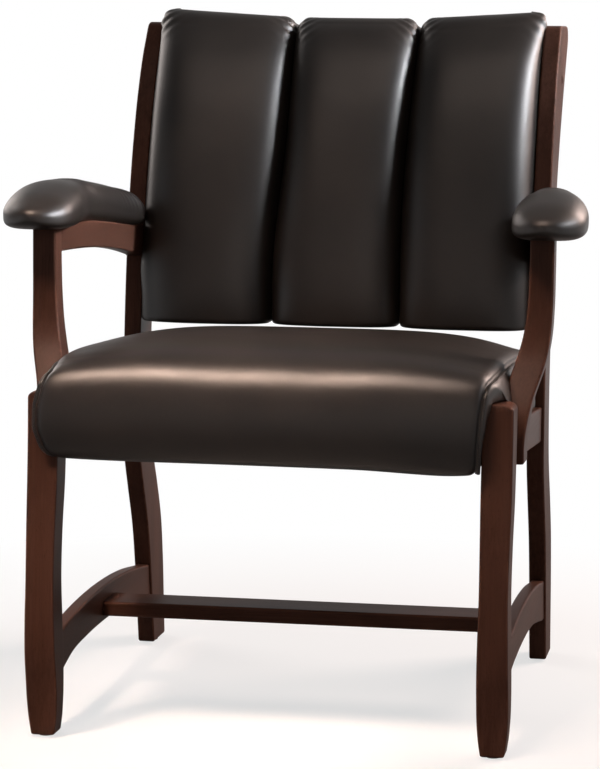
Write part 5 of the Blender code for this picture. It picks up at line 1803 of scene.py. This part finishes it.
@dataclass
class BackChannels(PaddedForm):
    """One upright channel of the back: a raked pillow between deep valleys."""

    posts: RearPosts = None
    place: int = 0
    rings: int = 260
    around: int = 220
    filled_rings: int = 52
    filled_around: int = 60
    cap: float = 0.004
    bottom: float = 0.4830
    top: float = 0.9170
    middle_drop: float = 0.0110
    inner_drop: float = 0.0100
    flare: float = 0.0135
    bulge: float = 0.0465
    valley: float = -0.004
    side_gap: float = 0.0008
    top_round: tuple[float, float] = (0.018, 0.025)
    bottom_round: tuple[float, float] = (0.0035, 0.0070)
    rear_fall: float = 0.014
    low_swell: float = 0.0045

    @property
    def width(self) -> float:
        """Breadth of one channel."""
        return (self.posts.inner - self.side_gap) * 2 / 3

    def board_front(self, z: Array) -> Array:
        """Y of the stiff board behind the channel."""
        stations = np.linspace(self.bottom - 0.006, self.top + 0.006, 14)
        faces = self.posts.front(stations) + (self.posts.rear(stations) - self.posts.front(stations)) * 0.45
        return np.interp(z, stations, faces)

    def edges(self, height: Array) -> tuple[Array, Array]:
        """X of the channel's two sides at a share of the height.

        Args:
            height: share of the height.

        Returns:
            The left and the right side.
        """
        none = np.zeros_like(height)
        drift = (none, curve_value(VALLEY_DRIFT, 1, height), curve_value(VALLEY_DRIFT, 2, height), none)
        left = (self.place - 0.5) * self.width + drift[self.place + 1]
        right = (self.place + 0.5) * self.width + drift[self.place + 2]
        return left + 0.0005, right - 0.0005

    def tube(self, rings: int, around: int) -> Array:
        """Level rings, drawn in along quarter ellipses at the top and the bottom.

        The front of a ring is |s|^3.4 + |f|^2.3 = 1, with s across the channel and f
        forwards from the valleys, and its back lies flat on the board. Drawn in by i, the
        half width is half - i (1 + rearward / 2) and the depth in front is depth - i.

        Args:
            rings: how many rings.
            around: how many points in each.

        Returns:
            The points, (rings, around, 3).
        """
        top = self.top - (self.middle_drop if self.place == 0 else 0)
        a = np.linspace(0, math.pi / 2, 40)
        (out_low, up_low), (out_high, up_high) = self.bottom_round, self.top_round
        low = np.stack([self.bottom + up_low * (1 - np.cos(a)), out_low * (1 - np.sin(a))], 1)
        high = np.stack([top - up_high * (1 - np.sin(a)), out_high * (1 - np.cos(a))], 1)
        z, inset = evenly(np.concatenate([low, high]), rings).T
        height = np.clip((z - self.bottom) / (top - self.bottom), 0, 1)
        closing = np.where(height > 0.5, inset / out_high, 0)
        angle = np.linspace(0, math.pi, 400)
        s = -np.sign(np.cos(angle)) * np.abs(np.cos(angle)) ** (2 / 3.4)
        f = np.abs(np.sin(angle)) ** (2 / 2.3)
        scale = np.array([self.width / 2, self.bulge - self.valley])
        front = evenly(np.stack([s, f], 1) * scale, around // 2 + 1) / scale
        t = np.linspace(0, 1, around // 2 + 1)[1:-1]
        corner = 0.22
        s = np.concatenate([front[:, 0], np.interp(t, [0, corner, 1 - corner, 1], [1, 1, -1, -1])])
        ahead = np.concatenate([front[:, 1], np.zeros(len(t))])
        to_rear = np.interp(t, [0, corner, 1 - corner, 1], [0, 1, 1, 0])
        rearward = np.concatenate([np.zeros(len(front)), to_rear])
        swell = (1 - 0.10 * np.abs(2 * height - 1) ** 6)[:, None]
        posts_front = self.posts.front(z)[:, None]
        side = posts_front - self.valley
        base = self.board_front(z)[:, None] - 0.0013
        left, right = (edge[:, None] for edge in self.edges(height))
        inset, closing, height = inset[:, None], closing[:, None], height[:, None]
        half = (right - left) / 2 - inset * (1 + 0.5 * rearward)
        x = (left + right) / 2 + s * half
        depth = (self.bulge - self.valley) * swell - inset - (0.004 if self.place == 0 else 0)
        y = side - ahead * depth + rearward * (base - inset * 0.6 - side)
        outward = np.clip(s, -1, 1) * self.place
        forward = smooth_step(0.001, 0.020, posts_front - y)
        flare = self.flare * (1.55 if self.place > 0 else 1) * height**14
        flare += self.low_swell * (self.place < 0) * np.exp(-(((height - 0.17) / 0.07) ** 2))
        x = x + self.place * flare * np.maximum(outward, 0) * forward
        drop = self.inner_drop * abs(self.place) * (1 - outward) / 2 * height
        fall = self.rear_fall * closing * smooth_step(-0.3, 1.0, rearward - ahead)
        return np.stack([x, y, z[:, None] - drop - fall], -1)

    def rib_points(self, ring: Array, share: Array, last: bool) -> Array:
        """The closed top and bottom crown slightly.

        Args:
            ring: the ring that is closed.
            share: places along each rib.
            last: whether it is the top.

        Returns:
            The points, (around / 2 + 1, ribs, 3).
        """
        points = super().rib_points(ring, share, last)
        length = np.linalg.norm(points[:, -1] - points[:, 0], axis=1)[:, None]
        crown = (0.0025 if last else -0.0005) * np.minimum(1, length / 0.02)
        points[..., 2] += crown * 4 * share * (1 - share)
        return points

    def held(self, rings: int, around: int) -> Array:
        """Sewn at the valleys and against the board."""
        place = np.arange(around)
        return np.tile(((place >= around // 2) | (place < 2)).astype(float), (rings, 1))

    def dress(self, tube: Array) -> tuple[Array, Array]:
        """Pull short gathers into the top corners and let the leather undulate.

        Args:
            tube: the fine tube, (rings, around, 3).

        Returns:
            The tube, reshaped, and its seam marks.
        """
        rings, around = tube.shape[:2]
        normals = outer_normals(tube, tube.mean(axis=1, keepdims=True))
        u = np.arange(around) / around
        v = np.linspace(0, 1, rings)
        edge = np.where(u < 0.5, np.minimum(u, 0.5 - u), 0.25)
        corner = np.exp(-((edge - 0.045) / 0.055) ** 2)[None] * np.exp(-(((v - 0.945) / 0.04) ** 2))[:, None]
        fan = v[:, None] * 190 - edge[None] * 150 + 1.5 * soft_noise(tube * 40, 41 + self.place)
        gather = 0.0011 * np.sin(fan) * corner
        waves = 0.0010 * soft_noise(tube * np.array([16, 16, 8]), 11 + self.place) * (u < 0.5)[None]
        fade = np.sin(np.clip(u, 0, 0.5) * 2 * math.pi)[None]
        # The seam mark dulls the leather and darkens it as painted shade on the valleys' flanks and on the
        # back.
        seam = np.where(u < 0.5, np.exp(-(np.minimum(u, 0.5 - u) / 0.02) ** 2), 1)[None] * np.ones((rings, 1))
        tube = tube + normals * (gather + waves * fade)[..., None]
        return tube, seam

    def build_one(self, finishes: Finishes, word: str) -> Piece:
        """Make this channel."""
        item = self.form(f"back_channel_{word}_leather")
        return Piece(item, finishes.leather, "black_leather", (f"back_channel_{word}",))


@dataclass
class Back:
    """The three channels and the outer back panel."""

    posts: RearPosts
    bottom: float = 0.4930
    top: float = 0.8925
    board_depth: float = 0.0323
    gap: float = 0.0006
    thickness: float = 0.0048
    crown: float = 0.0022
    ease: float = 0.0022

    def cover(self, finishes: Finishes) -> Piece:
        """The outer back: a crowned leather panel, bent to the posts' curve.

        Args:
            finishes: the materials.

        Returns:
            The piece.
        """
        one = BackChannels(posts=self.posts)
        z = np.linspace(self.bottom, self.top, 60)
        half = (self.posts.inner - one.side_gap) * np.ones_like(z)
        face = one.board_front(z) + self.board_depth + self.gap
        edge = np.minimum(z - z[0], z[-1] - z)
        rear = face + self.thickness + self.crown * np.minimum(edge / 0.05, 1)
        loops, _ = eased_loops(-half, half, face, rear, self.ease)
        item = skin("back_cover_leather", at_heights(loops, z))
        return Piece(item, finishes.leather, "black_leather", ("back_cover",))

    def build(self, finishes: Finishes) -> list[Piece]:
        """Make the channels and the outer panel."""
        pieces = [
            BackChannels(posts=self.posts, place=place).build_one(finishes, word)
            for place, word in ((-1, "left"), (0, "middle"), (1, "right"))
        ]
        return [*pieces, self.cover(finishes)]


@dataclass
class ArmPads(PaddedForm):
    """The leather arm pads: bulbous in front, lean behind."""

    arms: Arms = None
    rings: int = 300
    around: int = 160
    filled_rings: int = 46
    filled_around: int = 44
    cap: float = 0.003
    front_place: float = 0.105
    back_place: float = 0.5225
    half: float = 0.0475
    height: float = 0.0600
    offset: float = 0.045
    widest: float = 0.42
    overlap: float = 0.0022

    def closing(self, share: Array) -> Array:
        """How far the rings are open: (1 - (1 - f)^2.3)^(1 / 2.3) over the first 12%, alike at the rear."""
        front, rear = np.clip(share / 0.12, 0, 1), np.clip((1 - share) / 0.13, 0, 1)
        return (1 - (1 - front) ** 2.3) ** (1 / 2.3) * (1 - (1 - rear) ** 2.1) ** (1 / 2.1)

    def tube(self, rings: int, around: int) -> Array:
        """Upright rings from front to rear, which close along superellipses at both ends.

        The upper half of a ring is |x|^2.3 + |z|^2.1 = 1 over the widest level, and the
        lower half is |x|^3.4 + |z|^4 = 1 under it.

        Args:
            rings: how many rings.
            around: how many points in each.

        Returns:
            The points, (rings, around, 3).
        """
        length = self.back_place - self.front_place
        share = 0.5 - 0.5 * np.cos(math.pi * np.linspace(0, 1, 4000))
        rim = np.stack([share * length, self.half * self.closing(share)], 1)
        share = np.clip(evenly(rim, rings)[:, 0] / length, 2e-5, 1 - 2e-5)
        y = self.front_place + length * share
        offset, half, height = (curve_value(PAD_SHAPE, column, share) for column in (1, 2, 3))
        nose = np.exp(-share / 0.04)
        half, height = half + 0.08 * nose, height + 0.22 * nose
        closed = np.maximum(self.closing(share), 0.02 if rings > 100 else 0.2)
        start, end, _ = self.arms.line()
        base = self.arms.top_line((y + ORIGIN_Y - start[1]) / (end[1] - start[1])) - self.overlap
        centre = end[0] - self.offset / 20 + self.offset * offset
        angle = np.linspace(0, math.pi, 300)
        cos, sin = np.cos(angle), np.sin(angle)
        upper = np.stack([-np.sign(cos) * np.abs(cos) ** (2 / 2.3), np.abs(sin) ** (2 / 2.1)], 1)
        lower = np.stack([np.sign(cos) * np.abs(cos) ** (2 / 3.4), -np.abs(sin) ** (2 / 4.0)], 1)
        scale = np.array([1.0, 0.62])
        top = evenly(upper * scale, around // 2 + 1)[:-1] / scale
        low = evenly(lower * scale, around // 2 + 1)[:-1] / scale
        tall, wide = self.height * height, self.half * half * closed
        middle = np.polyval(np.polyfit(y, base, 4), y) + tall * self.widest
        upper, lower = (tall * (1 - self.widest) * closed)[:, None], ((middle - base) * closed)[:, None]
        x = centre[:, None] + np.concatenate([top[:, 0], low[:, 0]])[None] * wide[:, None]
        z = middle[:, None] + np.concatenate([top[None, :, 1] * upper, low[None, :, 1] * lower], 1)
        return np.stack([x, np.broadcast_to((y + ORIGIN_Y)[:, None], x.shape), z], -1)

    def held(self, rings: int, around: int) -> Array:
        """Tacked underneath."""
        place = np.arange(around)
        return np.tile(((place > around // 2 + 1) & (place < around - 1)).astype(float), (rings, 1))

    def dress(self, tube: Array) -> tuple[Array, Array]:
        """Fold short wrinkles over the waist and gather the rear tip.

        Args:
            tube: the fine tube, (rings, around, 3).

        Returns:
            The tube, reshaped, and its seam marks.
        """
        around = tube.shape[1]
        normals = outer_normals(tube, tube.mean(axis=1, keepdims=True))
        u = np.arange(around) / around
        y = tube[..., 1] - ORIGIN_Y
        upper = np.where(u < 0.5, np.sin(np.clip(u, 0, 0.5) * 2 * math.pi), 0)[None]
        slanted = y + (u[None] - 0.25) * 0.07 + 0.006 * soft_noise(tube * 40, 31)
        waist = np.exp(-(((slanted - 0.285) / 0.034) ** 2)) * upper * (0.6 + 0.4 * soft_noise(tube * 110, 37))
        rear = np.exp(-(((slanted - 0.448) / 0.034) ** 2)) * upper
        wrinkles = 0.0014 * np.sin(slanted * 640) * waist + 0.0011 * np.sin(slanted * 480) * rear
        waves = 0.0010 * soft_noise(tube * 26, 23) * upper
        tube = tube + normals * (wrinkles + waves)[..., None]
        return tube, np.zeros(tube.shape[:2])

    def build(self, finishes: Finishes) -> list[Piece]:
        """Make the right pad, and the left one as its mirror image.

        Args:
            finishes: the materials.

        Returns:
            The pieces.
        """
        pieces = []
        right = self.form("arm_pad_right_leather")
        for side in Side:
            name = f"arm_pad_{side.word}"
            item = right
            if side is Side.LEFT:
                mesh = right.data.copy()
                mesh.name = name + "_leather"
                mesh.transform(Matrix.Scale(-1, 4, (1, 0, 0)))
                mesh.flip_normals()
                item = linked(name + "_leather", mesh)
            pieces.append(Piece(item, finishes.leather, "black_leather", (name,)))
        return pieces


# Hardware and studio


@dataclass
class Hardware:
    """The wood plugs over the back screws and the nailed glides."""

    posts: RearPosts
    plug_radius: float = 0.0062
    plug_depth: float = 0.0060
    plug_dome: float = 0.0018
    glide_radius: float = 0.009
    glide_height: float = 0.003

    def placed(self, profile: Array, middle: Vector, way: Vector, name: str) -> Item:
        """Turn a profile about an axis through a place."""
        turn = np.array(way.to_track_quat("Z", "Y").to_matrix())
        return skin(name, turned_rows(profile) @ turn.T + np.array(middle))

    def build(self, finishes: Finishes) -> list[Piece]:
        """Make every plug and glide where its CAD node is.

        Args:
            finishes: the materials.

        Returns:
            The pieces.
        """
        pieces = []
        dome = np.linspace(0, 1, 7)[1:]
        r, deep = self.plug_radius, self.plug_depth
        radii = np.concatenate([[0.95 * r, r, r], r * np.sqrt(1 - dome**2 * 0.98)])
        plug = np.stack([radii, np.concatenate([[-deep, -deep + 0.0004, 0.0], self.plug_dome * dome])], 1)
        r, h = self.glide_radius, self.glide_height
        glide = np.array([(0.86 * r, 0.0), (0.95 * r, 0.0002), (r, 0.0011), (r, h - 0.0003), (0.97 * r, h)])
        for side in Side:
            for level in ("upper", "lower"):
                name = f"post_plug_{level}_{side.word}"
                low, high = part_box(name)
                middle = (low + high) / 2
                middle.x = side.value * self.posts.half
                item = self.placed(plug, middle, Vector(side.outward), name + "_cherry")
                pieces.append(Piece(item, finishes.cherry[Grain.CROSSWISE], "cherry_wood", (name,)))
            for end in ("front", "rear"):
                name = f"glide_{end}_{side.word}"
                low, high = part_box(name)
                middle = (low + high) / 2
                middle.z = 0
                item = self.placed(glide, middle, Vector((0, 0, 1)), name + "_nylon")
                pieces.append(Piece(item, finishes.nylon, "glide_nylon", (name,)))
        return pieces


class CarriedNodes:
    """The CAD nodes that stay, each with a finish of its kind."""

    def __init__(self, finishes: Finishes) -> None:
        """Give each kind of node its finish."""
        cross = finishes.cherry[Grain.CROSSWISE]
        self.kinds = {
            "seat_front_rail": cross, "seat_rear_rail": cross, "corner_block": finishes.plywood,
            "seat_deck": finishes.plywood, "back_board": finishes.plywood, "arm_pad_board": finishes.plywood,
            "back_upper_rail": finishes.plywood, "back_lower_rail": finishes.plywood,
            "seat_dust_cover": finishes.cambric, "screw": finishes.zinc, "bolt": finishes.zinc,
        }

    def dress(self, nodes: dict[str, Item]) -> None:
        """Assign the finishes to the nodes that are still shown."""
        for name, item in nodes.items():
            if item.hide_render:
                continue
            found = [finish for kind, finish in self.kinds.items() if kind in name]
            for slot in item.material_slots:
                slot.material = found[0]
            log.info("%s: carried over", name)


@dataclass(frozen=True)
class Lamp:
    """A rectangular soft box, with a grid in front that keeps its light within the spread."""

    name: str
    place: Triple
    target: Triple
    size: tuple[float, float]
    power: float
    colour: Triple
    spread: float = 180.0

    def hang(self) -> None:
        """Put the lamp into the scene."""
        data = bpy.data.lights.new(self.name, "AREA")
        data.shape = "RECTANGLE"
        data.size, data.size_y = self.size
        data.energy, data.color = self.power, self.colour
        data.spread = math.radians(self.spread)
        item = linked(self.name, data)
        item.location = self.place
        item.rotation_mode = "QUATERNION"
        item.rotation_quaternion = (Vector(self.target) - Vector(self.place)).to_track_quat("-Z", "Y")


# Every lamp of the studio; the narrow ones put a highlight where the photograph has it.
LAMPS = (
    Lamp("warm_key", (-0.70, -1.42, 2.30), (-0.15, -0.41, 0.42), (0.5, 0.9), 2.3, (1.0, 0.72, 0.57), 15),
    Lamp("warm_key_right", (-0.2, -1.42, 2.3), (0.13, -0.41, 0.41), (0.6, 0.86), 0.85, (1.0, 0.74, 0.60), 17),
    Lamp("warm_ceiling", (0.15, -1.35, 3.6), (0.05, -0.2, 0.6), (2.6, 1.2), 17, (1.0, 0.80, 0.69)),
    Lamp("side_window_high", (2.10, 0.10, 2.05), (0.0, 0.0, 1.00), (1.6, 0.7), 9.5, (0.93, 0.95, 1.0), 20),
    Lamp("side_window", (2.20, 0.10, 1.35), (0.0, 0.0, 1.00), (1.6, 0.7), 0.8, (0.93, 0.95, 1.0), 26),
    Lamp("rear_window", (1.85, 1.50, 1.75), (0.0, 0.0, 0.6), (1.2, 1.3), 74, (1.0, 0.77, 0.68)),
    Lamp("rear_door", (-1.90, 1.30, 1.50), (0.0, 0.0, 0.6), (1.2, 1.4), 24, (1.0, 0.90, 0.85)),
    Lamp("left_wall", (-2.3, -1.3, 1.0), (0.0, -0.2, 0.5), (1.4, 1.6), 4, (0.97, 0.97, 1.0)),
    Lamp("front_wall", (1.0, -4.7, 1.35), (0.0, 0.0, 0.6), (3.6, 2.0), 17, (1.0, 0.84, 0.76)),
)


@dataclass
class Studio:
    """The pale floor, the white surroundings, the lamps and the camera."""

    place: Triple = (0.6557, -3.9521, 0.8832)
    azimuth: float = 9.729
    elevation: float = 6.677
    roll: float = 0.607
    lens: float = 140.4
    fill: float = 0.13
    floor_half: float = 14.0
    shadow_reach: float = 3.0
    mirror_reach: float = 6.0

    def camera(self) -> None:
        """Stand the camera where the photograph was taken from."""
        data = bpy.data.cameras.new("photograph")
        data.lens, data.sensor_width = self.lens, 36
        item = linked("photograph", data)
        a, e, r = (math.radians(v) for v in (self.azimuth, self.elevation, self.roll))
        back = Vector((math.sin(a) * math.cos(e), -math.cos(a) * math.cos(e), math.sin(e)))
        right = Vector((math.cos(a), math.sin(a), 0))
        up = back.cross(right)
        axes = (right * math.cos(r) + up * math.sin(r), up * math.cos(r) - right * math.sin(r), back)
        item.matrix_world = Matrix.Translation(self.place) @ Matrix(axes).transposed().to_4x4()
        bpy.context.scene.camera = item

    def white_in_view(self, tree: Tree, lit: object, white: object, mirrored: object) -> Node:
        """Show white to the camera and to glass rays, a share of it to mirror rays, and else light.

        Args:
            tree: the tree to add to.
            lit: the shader that lights the chair.
            white: the shader of the background.
            mirrored: the share of white that mirror rays see.

        Returns:
            The shader that mixes the two.
        """
        path = tree.add("LightPath").outputs
        glossy = tree.maths("MULTIPLY", path["Is Glossy Ray"], mirrored)
        both = tree.maths("MAXIMUM", glossy, path["Is Transmission Ray"])
        seen = tree.maths("MAXIMUM", path["Is Camera Ray"], both)
        return tree.fed(tree.add("MixShader"), seen, lit, white)

    def floor_finish(self) -> Material:
        """Pale paint that takes the shadow near the chair and goes over to plain white far off.

        Returns:
            The material.
        """
        nodes = Nodes("pale_floor")
        nodes.paint(Base_Color=(0.88, 0.88, 0.88, 1), Roughness=0.9, Specular_IOR_Level=0.1)
        plain = nodes.add("BsdfDiffuse", Color=(0.25, 0.25, 0.25, 1))
        glow = nodes.add("Emission", Color=(1, 1, 1, 1), Strength=1.0)
        far = nodes.fed(nodes.add("VectorMath", {"operation": "LENGTH"}), nodes.places())
        distance = far.outputs["Value"]
        share = nodes.greys(nodes.maths("DIVIDE", distance, self.shadow_reach), (0.20, 0.66), (0.42, 1.0))
        mix = nodes.fed(nodes.add("MixShader"), share, nodes.shader, glow)
        off = nodes.greys(nodes.maths("DIVIDE", distance, self.mirror_reach), (0.25, 0.1), (0.75, 0.9))
        nodes.fed(nodes.tree.nodes["Material Output"], self.white_in_view(nodes, plain, mix, off))
        return nodes.material

    def build(self) -> None:
        """Set the whole stage."""
        scene = bpy.context.scene
        scene.view_settings.view_transform = "Standard"
        world = bpy.data.worlds.new("studio")
        scene.world = world
        world.use_nodes = True
        tree = Tree(world.node_tree)
        world.node_tree.nodes.clear()
        fill = tree.add("Background", Color=(0.95, 0.97, 1.0, 1), Strength=self.fill)
        white = tree.add("Background", Color=(1, 1, 1, 1), Strength=1.0)
        way = tree.add("SeparateXYZ", Vector=tree.add("TexCoord").outputs["Generated"]).outputs
        rear = tree.add("MapRange", Value=way["Y"], From_Min=0.20, From_Max=0.90, To_Max=0.35)
        raised = tree.add("MapRange", Value=way["Z"], From_Min=-0.10, From_Max=0.10, To_Max=1.0)
        behind = tree.maths("MULTIPLY", rear, raised)
        tree.fed(tree.add("OutputWorld"), self.white_in_view(tree, fill, white, behind))
        corners = self.floor_half * np.array([(-1, -1, 0), (1, -1, 0), (1, 1, 0), (-1, 1, 0)])
        floor = surface_object("floor", corners, [[0, 1, 2, 3]])
        if floor.data.polygons[0].normal.z < 0:
            floor.data.flip_normals()
        floor.data.materials.append(self.floor_finish())
        for lamp in LAMPS:
            lamp.hang()
        self.camera()


def main() -> None:
    """Build the chair's pieces in order, then the studio round it."""
    logging.basicConfig(level=logging.INFO, format="%(name)s: %(message)s", stream=sys.stdout, force=True)
    finishes = Finishes()
    posts = RearPosts()
    legs = FrontLegs()
    seat_frame = SeatFrame(legs, posts)
    arms = Arms(seat_frame)
    makers = (
        posts, legs, seat_frame, arms, Hardware(posts),
        SeatCushion(frame=seat_frame, arms=arms), Back(posts), ArmPads(arms=arms),
    )
    for maker in makers:
        for piece in maker.build(finishes):
            piece.settle()
    CarriedNodes(finishes).dress(frame["nodes"])
    Studio().build()
    bpy.context.view_layer.update()


if __name__ == "__main__":
    main()
